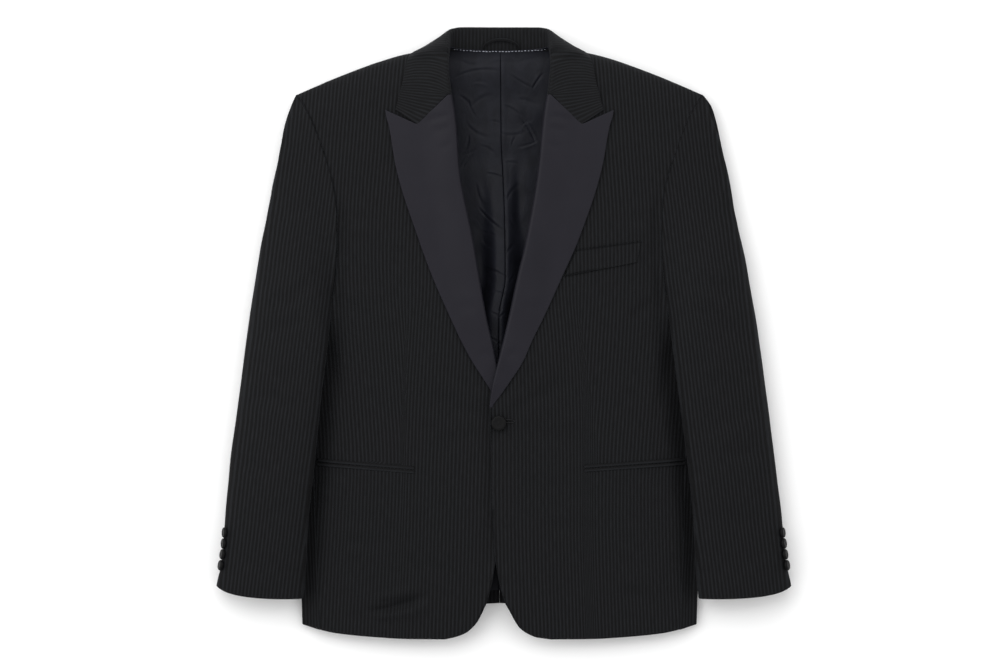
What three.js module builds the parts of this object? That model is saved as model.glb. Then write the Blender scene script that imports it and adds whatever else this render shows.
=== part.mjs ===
// A dinner jacket laid flat on its back, front up, as separate cloth pieces with real wall thickness.
// Millimetres. x runs to the wearer's left, y from the hem to the collar, z up off the table.
// Tables and builders describe the left side, with x out from the centre; the right side mirrors it.
import * as THREE from "three";

// ---- driving sizes --------------------------------------------------------------------------------------
const CLOTH = 2.0; // suiting with its canvas or fusing
const SLEEVE_CLOTH = 1.8;
const LAPEL_CLOTH = 2.4; // suiting, canvas and silk facing together
const LINING_CLOTH = 1.0;
const SEAM = 0.34; // gap left between two pieces at a seam
const TUCK = 0.35; // how much further the inner face of a wall stops short of a seam
const SLEEVE_TUCK = 1.6;
const ARMHOLE_GAP = 0.6; // gap left by the sleeve at the armhole

const TOP_POWER = 2.4; // roundness of the front across the chest
const BASE_POWER = 6; // the back is flat on the table and turns up only near its edges
const SHOULDER_ROLL = 60; // length over which the front climbs from the shoulder seam
const BACK_ROLL = 30;

const NECK = { x: 60, y: 765, dip: 15, back: 762, clear: 3.2 };
const ARM = { top: 705, topX: 263, bottom: 445, front: 216, back: 217, drop: 17, bottomSide: 430 };
const SEAM_AT = { front: 0.916, back: 0.86 }; // side body seams, as a share of the half width
const LAPEL_TOP = { notch: [108.5, 668.5], peak: [150, 686] };
const LAPEL_FOOT = 313; // the lapel ends here, just above the front button
const GORGE_Y = 706; // where the lapel's roll line meets the collar
const NOTCH_AT = 0.51; // share of the lapel's width at which its top edge turns up to the peak
const FOLD_RADIUS = 4.6; // roll of the top of the lapels
const COLLAR_ROLL = 4.2; // roll of the fold between the collar's leaf and its stand
const FRONT_HEM_OUT = 14; // height of the hem at the side body seam
const FRONT_ROWS = [0, 7, 18, 34, 60, 95, 140, 195, 255, 300, 313, 345, 395]; // heights at the front edge
// faces of the lapels and collar: above the front at the edge, below it at the roll, reach of the roll
const LEAF = { lift: 3.2, join: 2.2, reach: 40 };

const FRONT_BUTTON = { x: -0.9, y: 280.5, across: 20, thick: 5 };
const CUFF_BUTTON = { across: 13.6, thick: 4.2, pitch: 14.1, lowest: 96, count: 4 };
const HANGER_LOOP = { half: 22, rise: 15, width: 4.5, centre: 2, y: 764.5, segments: 12 };
const HANGER_LOOP_Z = { low: 8.4, high: 11, cloth: 1.2 };
const BREAST_WELT = { side: 1, bottom: [[83, 468.7], [177.6, 487.2]], top: [[99, 504.4], [183, 515.5]] };
const BREAST_WELT_CLOTH = 1.6;
const HIP_JET = { inner: [110, 223.2], outerRight: [236, 230.2], outerLeft: [240, 230.2] };
const HIP_JET_SIZE = { deep: 4.8, pitch: 5.2, cloth: 1.3 };
const CUFF = { y: 52, tilt: 17 };
const AIR = 0.5; // air between a laid-on piece and the cloth under it
const LEAF_UNDER = 3.3; // lift of the back of the neck by the collar leaf folded under it

// half: half width to the side fold, crown: rise of the front above the fold, fold: height of the fold
const BODY = [
  { y: -10, half: 255, crown: 15, fold: 10 },
  { y: 60, half: 257, crown: 21, fold: 11 },
  { y: 160, half: 261, crown: 28, fold: 12 },
  { y: 280, half: 263, crown: 33, fold: 13 },
  { y: 400, half: 263, crown: 36, fold: 14 },
  { y: 450, half: 264, crown: 37, fold: 14 },
  { y: 530, half: 287, crown: 37, fold: 15 },
  { y: 620, half: 291, crown: 36, fold: 17 },
  { y: 705, half: 268, crown: 34, fold: 19 },
  { y: 800, half: 268, crown: 34, fold: 19 },
];
const SHOULDER = [
  { x: 0, y: 767 },
  { x: 60, y: 765 },
  { x: 90, y: 760 },
  { x: 120, y: 753.5 },
  { x: 155, y: 746.5 },
  { x: 208, y: 728 },
  { x: 263, y: 705 },
];
const ARMHOLE = [
  { y: 445, front: 216, back: 217 },
  { y: 475, front: 212.5, back: 206 },
  { y: 510, front: 210.5, back: 201 },
  { y: 545, front: 210.5, back: 200 },
  { y: 583, front: 214.5, back: 206 },
  { y: 607, front: 220.5, back: 214 },
  { y: 632, front: 228.5, back: 224 },
  { y: 655, front: 237, back: 234 },
  { y: 678, front: 247, back: 245.5 },
  { y: 697, front: 257.5, back: 257 },
  { y: 705, front: 263, back: 263 },
];
// lift of the left front over the right one
const LAP = [
  { y: 0, lift: 2.8 },
  { y: 270, lift: 3 },
  { y: 312, lift: 6.4 },
  { y: 355, lift: 6.4 },
  { y: 420, lift: 1.5 },
  { y: 470, lift: 0 },
];
// distance out from the centre to the edge of each front; below zero it laps past the centre
const FRONT_EDGE = [
  { y: 0, right: 71, left: 67 },
  { y: 3, right: 57, left: 47 },
  { y: 8, right: 44, left: 35.5 },
  { y: 14, right: 36, left: 27 },
  { y: 23.5, right: 28, left: 20 },
  { y: 34, right: 22.5, left: 14.5 },
  { y: 49, right: 16, left: 6.5 },
  { y: 69, right: 10.5, left: 0.8 },
  { y: 88, right: 6.8, left: -3.3 },
  { y: 120, right: 2.2, left: -7.5 },
  { y: 160, right: -2, left: -10 },
  { y: 260, right: -11, left: -11.8 },
  { y: 300, right: -11, left: -12.4 },
];
const FRONT_HEM = [
  { x: 67, y: 0 },
  { x: 120, y: 0.5 },
  { x: 165, y: 3 },
  { x: 211, y: 7.5 },
  { x: 240, y: 14 },
  { x: 258, y: 20 },
];
const BACK_HEM = [
  { x: 0, y: 45.5 },
  { x: 120, y: 38 },
  { x: 220, y: 25 },
  { x: 258, y: 20 },
];
// roll line and outer edge of each lapel, out from the centre
const LAPEL = [
  { y: 303, rollRight: -8, rollLeft: -13, edgeRight: -2, edgeLeft: -9 },
  { y: 329, rollRight: -3, rollLeft: -9.5, edgeRight: 14.5, edgeLeft: 9.5 },
  { y: 361, rollRight: 4, rollLeft: -1.5, edgeRight: 35, edgeLeft: 30 },
  { y: 388, rollRight: 10, rollLeft: 5, edgeRight: 49.5, edgeLeft: 42 },
  { y: 414, rollRight: 16, rollLeft: 11, edgeRight: 61.5, edgeLeft: 55 },
  { y: 470, rollRight: 26, rollLeft: 23, edgeRight: 86, edgeLeft: 80.5 },
  { y: 519, rollRight: 34.5, rollLeft: 34.5, edgeRight: 104, edgeLeft: 102 },
  { y: 608, rollRight: 51.4, rollLeft: 49.6, edgeRight: 132, edgeLeft: 131 },
  { y: 660, rollRight: 55.9, rollLeft: 55.7, edgeRight: 144, edgeLeft: 143.5 },
  { y: 686, rollRight: 59.4, rollLeft: 59.3, edgeRight: 150, edgeLeft: 150 },
  { y: 706, rollRight: 65, rollLeft: 65, edgeRight: 150, edgeLeft: 150 },
];
// silhouettes of each sleeve: outer edge, and the inner edge that lies over the body
const SLEEVE_EDGE = [
  { y: 52, outerRight: 368, outerLeft: 380, innerRight: 254, innerLeft: 258 },
  { y: 69, outerRight: 366.6, outerLeft: 378, innerRight: 251.5, innerLeft: 255.5 },
  { y: 100, outerRight: 360.5, outerLeft: 372.5, innerRight: 249.5, innerLeft: 253 },
  { y: 153, outerRight: 355.6, outerLeft: 366, innerRight: 246.4, innerLeft: 250.3 },
  { y: 228, outerRight: 347, outerLeft: 357, innerRight: 238, innerLeft: 242.3 },
  { y: 309, outerRight: 337.4, outerLeft: 346.5, innerRight: 230, innerLeft: 231.8 },
  { y: 400, outerRight: 324.4, outerLeft: 333.5, innerRight: 219, innerLeft: 220.5 },
  { y: 445, outerRight: 318.5, outerLeft: 327, innerRight: 216, innerLeft: 216 },
  { y: 507, outerRight: 309, outerLeft: 317.5, innerRight: 216, innerLeft: 216 },
  { y: 543, outerRight: 300, outerLeft: 307, innerRight: 216, innerLeft: 216 },
  { y: 587, outerRight: 292, outerLeft: 299, innerRight: 216, innerLeft: 216 },
  { y: 623, outerRight: 284.5, outerLeft: 291, innerRight: 216, innerLeft: 216 },
  { y: 669, outerRight: 276.5, outerLeft: 281, innerRight: 216, innerLeft: 216 },
  { y: 691, outerRight: 269, outerLeft: 274, innerRight: 216, innerLeft: 216 },
  { y: 705, outerRight: 263, outerLeft: 263, innerRight: 216, innerLeft: 216 },
];
// along the sleeve, armhole 0 to cuff 1: heights of both edges and rise of the top between them
const SLEEVE_SECTION = [
  { t: 0, outerZ: 19, innerZ: 42, rise: 20 },
  { t: 0.12, outerZ: 18, innerZ: 45, rise: 22 },
  { t: 0.35, outerZ: 18, innerZ: 46, rise: 26 },
  { t: 0.65, outerZ: 18, innerZ: 42, rise: 26 },
  { t: 0.85, outerZ: 18, innerZ: 34, rise: 24 },
  { t: 1, outerZ: 18, innerZ: 26, rise: 22 },
];
// half of the collar, centre back to gorge: fold, middle and outer edge of the leaf, and neck seam;
// a point with no height lies on the front
const COLLAR = [
  { fold: [0, 793.5, 4.6], middle: [0, 774, 0.35], edge: [0, 744, 0], seam: [0, 763.4, 6.2] },
  { fold: [30, 793.5, 4.6], middle: [31, 774, 0.35], edge: [33, 744, 0], seam: [29, 763.5, 6.4] },
  { fold: [50, 793.3, 6.4], middle: [55, 776, 0.9], edge: [62, 745, 0], seam: [46, 764, 7.6] },
  { fold: [60, 791, 12], middle: [72, 777, 2.5], edge: [84, 746, 0], seam: [53.5, 765.3, 11.5] },
  { fold: [65.5, 785, 24], middle: [83, 775, 9], edge: [100, 749, 0.8], seam: [56.5, 765.8, 17] },
  { fold: [67.2, 774, 39], middle: [94, 771, 22], edge: [112, 755, 5], seam: [58, 761, 24] },
  { fold: [67.5, 763, 48], middle: [97, 766, 36], edge: [118, 759, 19], seam: [59, 751, 28] },
  { fold: [67.5, 753], middle: [96, 758.5, 46], edge: [119.5, 755.5, 33.5], seam: [59.6, 744, 32] },
  { fold: [67.5, 742], middle: [95, 749], edge: [120, 746], seam: [60, 735, 35] },
  { fold: [67, 724], middle: [95, 734], edge: [125, 731], seam: [61, 722, 38] },
  { fold: [65.4, 707], middle: [95, 716], edge: [128, 717], seam: [62, 707, 41] },
];
const LEAF_END = [
  { inner: [70.6, 706.6], outer: [130, 711.5] },
  { inner: [83, 694.6], outer: [132.5, 703] },
  { inner: [95.8, 682.1], outer: [135, 694.5] },
  { inner: [108.9, 669.8], outer: [138, 686.9] },
];

// ---- small tools ----------------------------------------------------------------------------------------
const clamp01 = (v) => Math.min(Math.max(v, 0), 1);
const mix = (a, b, t) => a + (b - a) * t;
const mixPoints = (a, b, t) => a.map((v, k) => mix(v, b[k], t));
const smooth = (v) => clamp01(v) ** 2 * (3 - 2 * clamp01(v));
const bulge = (e, power) => (1 - (1 - clamp01(e)) ** power) ** (1 / power);
const steps = (n, power = 1) => Array.from({ length: n + 1 }, (_, i) => (i / n) ** power);
const even = (n) => steps(n).map((v) => (1 - Math.cos(Math.PI * v)) / 2);
const vector = ([x, y, z]) => new THREE.Vector3(x, y, z);

/** Smooth curve through two columns of a table that never overshoots its rows. */
function curve(rows, key, column) {
  const at = rows.map((row) => row[key]);
  const value = rows.map((row) => row[column]);
  const slope = at.slice(1).map((a, i) => (value[i + 1] - value[i]) / (a - at[i]));
  const tangent = slope.map((m, i) => {
    if (i === 0) return m;
    return slope[i - 1] * m <= 0 ? 0 : 2 / (1 / slope[i - 1] + 1 / m);
  });
  tangent.push(slope.at(-1));
  return (v) => {
    if (v <= at[0]) return value[0];
    if (v >= at.at(-1)) return value.at(-1);
    const i = at.findIndex((a) => a > v) - 1;
    const span = at[i + 1] - at[i];
    const u = (v - at[i]) / span;
    const u2 = u * u;
    const u3 = u2 * u;
    return (2 * u3 - 3 * u2 + 1) * value[i] + (u3 - 2 * u2 + u) * span * tangent[i]
      + (3 * u2 - 2 * u3) * value[i + 1] + (u3 - u2) * span * tangent[i + 1];
  };
}

function named(name, geometry, material) {
  const mesh = new THREE.Mesh(geometry, material);
  mesh.name = name;
  return mesh;
}

/**
 * Closed wall behind an outer face given as rows of points; its four borders stop short of the seams.
 * The rows run hem to collar and each row runs outward, for the left side; side -1 mirrors the wall.
 * down: the outer face looks down. before, after: the neighbours' points past the first and last column,
 * so that both walls are square to the fold they share. end: the direction square to the last row's seam.
 */
function wall(name, grid, options) {
  const { thick = CLOTH, material = WOOL, side = 1, down = false, tuck = TUCK } = options;
  const { endGap = SEAM / 2, before, after, end } = options;
  const rows = grid.length;
  const cols = grid[0].length;
  const normal = (i, j) => {
    if (end && i === rows - 1) return end;
    const behind = j === 0 && before ? before[i] : grid[i][Math.max(j - 1, 0)];
    const ahead = j === cols - 1 && after ? after[i] : grid[i][Math.min(j + 1, cols - 1)];
    const along = grid[Math.min(i + 1, rows - 1)][j].clone().sub(grid[Math.max(i - 1, 0)][j]);
    const across = ahead.clone().sub(behind);
    return across.cross(along).setLength(down ? -1 : 1);
  };
  const trimmed = (points, by) => points.map((row, i) => row.map((p, j) => {
    const out = p.clone();
    const pull = (q, more = 0) => out.add(q.clone().sub(p).setLength(by + more));
    if (i === 0) pull(points[1][j]);
    if (i === rows - 1) pull(points[rows - 2][j], endGap - SEAM / 2);
    if (j === 0) pull(row[1]);
    if (j === cols - 1) pull(row[cols - 2]);
    return out;
  }));
  const inner = grid.map((row, i) => row.map((p, j) => p.clone().addScaledVector(normal(i, j), -thick)));
  const faces = [trimmed(grid, SEAM / 2), trimmed(inner, SEAM / 2 + tuck)];
  const positions = faces.flat(2).flatMap((p) => [side * p.x, p.y, p.z]);
  const turned = down !== side < 0;
  const index = [];
  const id = (face, i, j) => (face * rows + i) * cols + j;
  const quad = (a, b, c, d) => index.push(...(turned ? [a, c, b, a, d, c] : [a, b, c, a, c, d]));
  for (let i = 0; i < rows - 1; i++) {
    for (let j = 0; j < cols - 1; j++) {
      quad(id(0, i, j), id(0, i, j + 1), id(0, i + 1, j + 1), id(0, i + 1, j));
      quad(id(1, i, j), id(1, i + 1, j), id(1, i + 1, j + 1), id(1, i, j + 1));
    }
    quad(id(0, i, 0), id(0, i + 1, 0), id(1, i + 1, 0), id(1, i, 0));
    quad(id(0, i, cols - 1), id(1, i, cols - 1), id(1, i + 1, cols - 1), id(0, i + 1, cols - 1));
  }
  for (let j = 0; j < cols - 1; j++) {
    quad(id(0, 0, j), id(1, 0, j), id(1, 0, j + 1), id(0, 0, j + 1));
    quad(id(0, rows - 1, j), id(0, rows - 1, j + 1), id(1, rows - 1, j + 1), id(1, rows - 1, j));
  }
  const geometry = new THREE.BufferGeometry();
  geometry.setAttribute("position", new THREE.Float32BufferAttribute(positions, 3));
  geometry.setIndex(index);
  return named(name, geometry, material);
}

const sideName = (side) => (side > 0 ? "left" : "right");
const column = (side, right, left) => (side > 0 ? left : right);

// ---- materials ------------------------------------------------------------------------------------------
const finish = (color, roughness) => new THREE.MeshStandardMaterial({ color, roughness, metalness: 0 });
const WOOL = finish(0x202124, 0.85);
const SATIN = finish(0x2c2d33, 0.4);
const LINING = finish(0x23252c, 0.5);
const BUTTON = finish(0x1e1e20, 0.6);

// ---- the shape of the body ------------------------------------------------------------------------------
const halfAt = curve(BODY, "y", "half");
const crownAt = curve(BODY, "y", "crown");
const foldAt = curve(BODY, "y", "fold");
const shoulderAt = curve(SHOULDER, "x", "y");
const armFront = curve(ARMHOLE, "y", "front");
const armBack = curve(ARMHOLE, "y", "back");
const frontHem = curve(FRONT_HEM, "x", "y");
const backHem = curve(BACK_HEM, "x", "y");
const roundness = (x, y, power) => (1 - Math.min(Math.abs(x) / halfAt(y), 1) ** power) ** (1 / power);

/** Outer face of the jacket's front side, before any lap or dip. */
function topZ(x, y) {
  const shoulder = bulge((shoulderAt(Math.abs(x)) - y) / SHOULDER_ROLL, 2.2);
  return foldAt(y) + crownAt(y) * roundness(x, y, TOP_POWER) * shoulder;
}

/** Outer face of the back, which lies on the table, lifted at the neck by the collar leaf under it. */
function baseZ(x, y) {
  const shoulder = bulge((shoulderAt(Math.abs(x)) - y) / BACK_ROLL, 3);
  const flat = roundness(x, y, BASE_POWER) * shoulder;
  const collar = LEAF_UNDER * smooth((y - 693) / 38) * smooth((158 - Math.abs(x)) / 48);
  return foldAt(y) * (1 - flat) + collar * flat;
}

/** A point of the side fold: 0 at the top of the side body, 0.5 at the fold, 1 at the seam to the back. */
function sidePoint(y, a) {
  const half = halfAt(y);
  const fold = foldAt(y);
  const top = a < 0.5;
  const power = top ? TOP_POWER : BASE_POWER;
  const share = top ? SEAM_AT.front : SEAM_AT.back;
  const angle = Math.acos(share ** (power / 2)) * Math.abs(1 - 2 * a);
  const rise = Math.sin(angle) ** (2 / power);
  return { x: half * Math.cos(angle) ** (2 / power), z: fold + rise * (top ? crownAt(y) : -fold) };
}

/** Height of the underarm seam at a distance out from the centre. */
function underarmY(x) {
  const share = clamp01((x - ARM.front) / (halfAt(ARM.bottomSide) - ARM.front));
  return ARM.bottom - ARM.drop * Math.sin((Math.PI / 2) * share);
}

// ---- armhole: one loop that the front, side body, back and sleeve all share -----------------------------
const HEAD = 8; // steps from the shoulder to the front of the underarm
const SIDE = 6; // steps round the side fold
const SCYE = 7; // steps from the back of the underarm up to the shoulder

function armholeLoop() {
  const head = even(HEAD).map((s) => {
    const y = mix(ARM.top, ARM.bottom, s);
    return [armFront(y), y, topZ(armFront(y), y)];
  });
  const middle = (ARM.front + halfAt(ARM.bottomSide) * SEAM_AT.front) / 2;
  const under = [[middle, underarmY(middle), topZ(middle, underarmY(middle))]];
  const round = steps(SIDE).map((a) => {
    const { x, z } = sidePoint(ARM.bottomSide, a);
    return [x, underarmY(x), z];
  });
  const scye = even(SCYE).map((s) => {
    const y = mix(ARM.bottom, ARM.top, s);
    return [armBack(y), y, baseZ(armBack(y), y)];
  });
  return { head, under, round, scye };
}
const LOOP = armholeLoop();
const SHOULDER_NORMAL = new THREE.Vector3(0, 1, 0);

// ---- fronts ---------------------------------------------------------------------------------------------
const frontEdge = (side) => curve(FRONT_EDGE, "y", column(side, "right", "left"));
const rollLine = (side) => curve(LAPEL, "y", column(side, "rollRight", "rollLeft"));
const lapelEdge = (side) => curve(LAPEL, "y", column(side, "edgeRight", "edgeLeft"));
const rollRadius = (y) => mix(3, FOLD_RADIUS, smooth((y - 330) / 110));

/** The left front laps over the right one, with both lapels between them near the button. */
const lapLift = curve(LAP, "y", "lift");
const lyingZ = (side, x, y) => topZ(x, y) + (side > 0 ? lapLift(y) * smooth(1 - (x - 8) / 80) : 0);

/** Outer face of a front: the neck edge dips under the collar. */
function frontZ(side, x, y) {
  const atNeck = smooth(1 - (x - NECK.x - 2) / 24) * smooth((y - 700) / 30);
  return lyingZ(side, x, y) - NECK.dip * atNeck * smooth((shoulderAt(x) - y) / 14);
}

/** Point at a distance off the cloth of a front, measured square to it. */
function above(side, x, y, rise) {
  const step = 2;
  const slopeX = (lyingZ(side, x + step, y) - lyingZ(side, x - step, y)) / (2 * step);
  const slopeY = (lyingZ(side, x, y + step) - lyingZ(side, x, y - step)) / (2 * step);
  const out = new THREE.Vector3(-slopeX, -slopeY, 1).setLength(rise);
  return vector([x, y, lyingZ(side, x, y)]).add(out);
}

/** How far out the inner border of a front lies: cutaway, front edge, roll line, then neckline. */
function frontInner(side, y) {
  const roll = rollLine(side)(y) + rollRadius(y) + 1.4;
  if (y > GORGE_Y) return mix(roll + 0.4, NECK.x + NECK.clear, smooth((y - GORGE_Y) / 25));
  return mix(frontEdge(side)(y), roll, smooth((y - 300) / 13));
}

/** Rows of the fronts: close together round the cutaway, then on the points of the armhole loop. */
function frontRows() {
  const toRow = ([x, y]) => ({ t: (y - FRONT_HEM_OUT) / (ARM.top - FRONT_HEM_OUT), x });
  const loop = [LOOP.round[0], LOOP.under[0], ...[...LOOP.head].reverse()].map(toRow);
  const lower = FRONT_ROWS.map((y) => {
    const t = y / NECK.y;
    return { t, x: halfAt(mix(FRONT_HEM_OUT, ARM.top, t)) * SEAM_AT.front };
  });
  // one more row at the gorge, on the straight line between its neighbours at the armhole
  const gorge = GORGE_Y / NECK.y;
  const i = loop.findIndex(({ t }) => t > gorge);
  const share = (gorge - loop[i - 1].t) / (loop[i].t - loop[i - 1].t);
  loop.splice(i, 0, { t: gorge, x: mix(loop[i - 1].x, loop[i].x, share) });
  return [...lower, ...loop];
}

function buildFront(side) {
  const hemInner = frontEdge(side)(0);
  const grid = frontRows().map(({ t, x: outer }) => {
    const innerY = mix(0, NECK.y, t);
    const inner = frontInner(side, innerY);
    return steps(8, 1.05).map((s) => {
      const x = mix(inner, outer, s);
      const hem = frontHem(mix(hemInner, halfAt(0) * SEAM_AT.front, s)) - mix(0, FRONT_HEM_OUT, s);
      const top = shoulderAt(mix(NECK.x + NECK.clear, ARM.topX, s)) - mix(NECK.y, ARM.top, s);
      const bend = t < 0.7 ? hem * (1 - t / 0.7) ** 3 : top * smooth((t - 0.7) / 0.3);
      const y = mix(innerY, mix(FRONT_HEM_OUT, ARM.top, t), s) + bend;
      return vector([x, y, frontZ(side, x, y)]);
    });
  });
  return wall(`front_${sideName(side)}`, grid, { side, end: SHOULDER_NORMAL });
}

// ---- side bodies, backs and lining ----------------------------------------------------------------------
function buildSide(side) {
  const grid = steps(10).map((t) => steps(SIDE).map((a, j) => {
    const { x: hemX } = sidePoint(20, a);
    const hem = a < 0.5 ? frontHem(hemX) : backHem(hemX);
    const y = mix(hem, LOOP.round[j][1], t);
    const { x, z } = sidePoint(mix(y, ARM.bottomSide, smooth(t * 3 - 2)), a);
    return vector([x, y, z]);
  }));
  return wall(`side_body_${sideName(side)}`, grid, { side });
}

function backGrid() {
  const hemOut = backHem(halfAt(20) * SEAM_AT.back);
  const toRow = ([x, y]) => ({ t: (y - hemOut) / (ARM.top - hemOut), x });
  const loop = [LOOP.round.at(-1), ...LOOP.scye].map(toRow);
  const lower = steps(5).slice(0, -1).map((v) => {
    const t = v * loop[0].t;
    return { t, x: halfAt(mix(hemOut, ARM.top, t)) * SEAM_AT.back };
  });
  const neck = NECK.x / ARM.topX;
  const columns = [0, 0.4 * neck, 0.8 * neck, neck, 0.42, 0.6, 0.8, 1];
  return [...lower, ...loop].map(({ t, x: outer }) => columns.map((s) => {
    const scoop = mix(NECK.back, NECK.y - 0.6, (s / neck) ** 2);
    const top = s < neck ? scoop : shoulderAt(s * ARM.topX);
    const x = s * outer;
    const y = mix(backHem(s * halfAt(20) * SEAM_AT.back), top, t);
    return [x, y, baseZ(x, y)];
  }));
}

function buildBack(side) {
  const grid = backGrid().map((row) => row.map(vector));
  return wall(`back_${sideName(side)}`, grid, { side, down: true, end: SHOULDER_NORMAL });
}

/** The lining follows the back's own facets, short of its hem, armhole and shoulder. */
function buildLining(side) {
  const back = backGrid();
  const between = (a, b, share) => a.map((p, j) => mixPoints(p, b[j], share));
  const atNeck = between(back.at(-2), back.at(-1), 0.6);
  const atShoulder = between(back.at(-3), back.at(-2), 0.5);
  const top = atShoulder.map((p, j) => (j < 3 ? atNeck[j] : p));
  const rows = [between(back[0], back[1], 0.2), ...back.slice(1, -2), top];
  const grid = rows.map((row) => {
    const inset = [...row.slice(0, -1), mixPoints(row.at(-2), row.at(-1), 0.7)];
    return inset.map(([x, y, z]) => vector([x, y, z + CLOTH + AIR + LINING_CLOTH]));
  });
  return wall(`back_lining_${sideName(side)}`, grid, { thick: LINING_CLOTH, material: LINING, side });
}

// ---- sleeves --------------------------------------------------------------------------------------------
const SLEEVE_ROWS = [0, 0.03, 0.07, 0.12, 0.18, 0.25, 0.33, 0.42, 0.52, 0.62, 0.72, 0.82, 0.91, 1];
const TABLE_AT = 0.25; // share of the sleeve's length at which its underside has come down to the table
// steps over the body's side fold, from the sleeve's inner edge to the table
const ARC_SHARE = [0.22, 0.42, 0.66, 0.88, 1];
const outerZ = curve(SLEEVE_SECTION, "t", "outerZ");
const innerZ = curve(SLEEVE_SECTION, "t", "innerZ");
const riseAt = curve(SLEEVE_SECTION, "t", "rise");

/** Lower face of a sleeve where it lies over the side of the body. */
function drapeZ(x, y) {
  const share = Math.min(x / (halfAt(y) + 16), 1);
  return (foldAt(y) + crownAt(y)) * (1 - share ** 2.6) ** (1 / 2.6) + 2;
}

/** Outer edge, inner edge and first line of contact with the table, at a share t of the way to the cuff. */
function sleeveEdges(side, t) {
  const outerX = curve(SLEEVE_EDGE, "y", column(side, "outerRight", "outerLeft"));
  const innerX = curve(SLEEVE_EDGE, "y", column(side, "innerRight", "innerLeft"));
  const innerY = ARM.bottom - (ARM.bottom - CUFF.y) * t ** 1.25;
  const outerY = innerY + CUFF.tilt + (ARM.top - ARM.bottom - CUFF.tilt) * (1 - t) ** 2.2;
  const inner = [innerX(innerY), innerY, innerZ(t)];
  const outer = [outerX(outerY), outerY, outerZ(t)];
  if (t === 0) return { inner: LOOP.head.at(-1), outer: LOOP.head[0], table: LOOP.round[SIDE / 2] };
  const x = halfAt(innerY) + 18;
  const level = mix(innerY, outerY, (x - inner[0]) / Math.max(outer[0] - inner[0], 60));
  const tableZ = foldAt(ARM.bottomSide) * (1 - smooth(t / TABLE_AT));
  const y = Math.min(mix(innerY - ARM.drop, level, smooth(t / 0.5)), ARM.bottom - ARM.drop - 38 * t);
  return { inner, outer, table: [x, y, tableZ] };
}

/** One ring of a sleeve: over the top from the outer edge, round the body's side, back along the table. */
function sleeveRing(side, t) {
  const first = sleeveEdges(side, 0);
  const now = sleeveEdges(side, t);
  const fade = clamp01(1 - t / 0.4) ** 2;
  const fadeFast = 1 - smooth(t / 0.06);
  const follow = (loop, a, b, s, keep) => {
    const base = mixPoints(now[a], now[b], s);
    const start = mixPoints(first[a], first[b], s);
    return [base[0] + (loop[0] - start[0]) * keep, base[1] + (loop[1] - start[1]) * keep];
  };
  const top = even(HEAD).map((s, j) => {
    const [x, y] = follow(LOOP.head[j], "outer", "inner", s, fade);
    const around = Math.max(Math.sin((Math.PI * j) / HEAD), 0);
    const oval = mix(now.outer[2], now.inner[2], s) + riseAt(t) * around ** 0.8;
    return [x, y, mix(topZ(x, y), oval, smooth(t / 0.25))];
  });
  const arcLoop = [...LOOP.under, ...LOOP.round.slice(0, SIDE / 2 + 1)];
  const arc = ARC_SHARE.map((s, j) => {
    const [x, y] = follow(arcLoop[j], "inner", "table", s, fadeFast);
    return [x, y, s === 1 ? now.table[2] : mix(drapeZ(x, y), arcLoop[j][2] + 0.4, fadeFast)];
  });
  const backLoop = [...LOOP.round.slice(SIDE / 2 + 1), ...LOOP.scye];
  const back = backLoop.slice(0, -1).map((loop, j) => {
    const s = (j + 1) / backLoop.length;
    const [x, y] = follow(loop, "table", "outer", s, fade);
    const flat = now.outer[2] * (1 - bulge((1 - s) * 6, 2.5));
    return [x, y, mix(loop[2], flat, smooth(t / 0.12))];
  });
  return { top, arc, back };
}

function buildSleeve(side) {
  const rings = SLEEVE_ROWS.map((t) => sleeveRing(side, t));
  const upper = rings.map(({ top, arc, back }) => [...back.slice(-2), ...top, arc[0]].map(vector));
  const under = rings.map(({ arc, back }) => [...arc, ...back.slice(0, -1)].map(vector));
  const options = { thick: SLEEVE_CLOTH, tuck: SLEEVE_TUCK, endGap: ARMHOLE_GAP, side, down: true };
  const piece = (name, grid, before, after) => {
    const upward = [grid, before, after].map((list) => [...list].reverse());
    return wall(`${name}_${sideName(side)}`, upward[0], { ...options, before: upward[1], after: upward[2] });
  };
  const topBefore = rings.map(({ back }) => vector(back.at(-3)));
  const topAfter = rings.map(({ arc }) => vector(arc[1]));
  const underBefore = rings.map(({ top }) => vector(top.at(-1)));
  const underAfter = rings.map(({ back }) => vector(back.at(-1)));
  return [
    piece("top_sleeve", upper, topBefore, topAfter),
    piece("under_sleeve", under, underBefore, underAfter),
    ...cuffButtons(side, rings),
  ];
}

// ---- lapels and collar ----------------------------------------------------------------------------------
/** Height of the roll of a lapel or collar, easing down to the cloth it lies on. */
const leafRise = (out, radius) => mix(2 * radius - LEAF.join, LEAF.lift, smooth(out / LEAF.reach));

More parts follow.
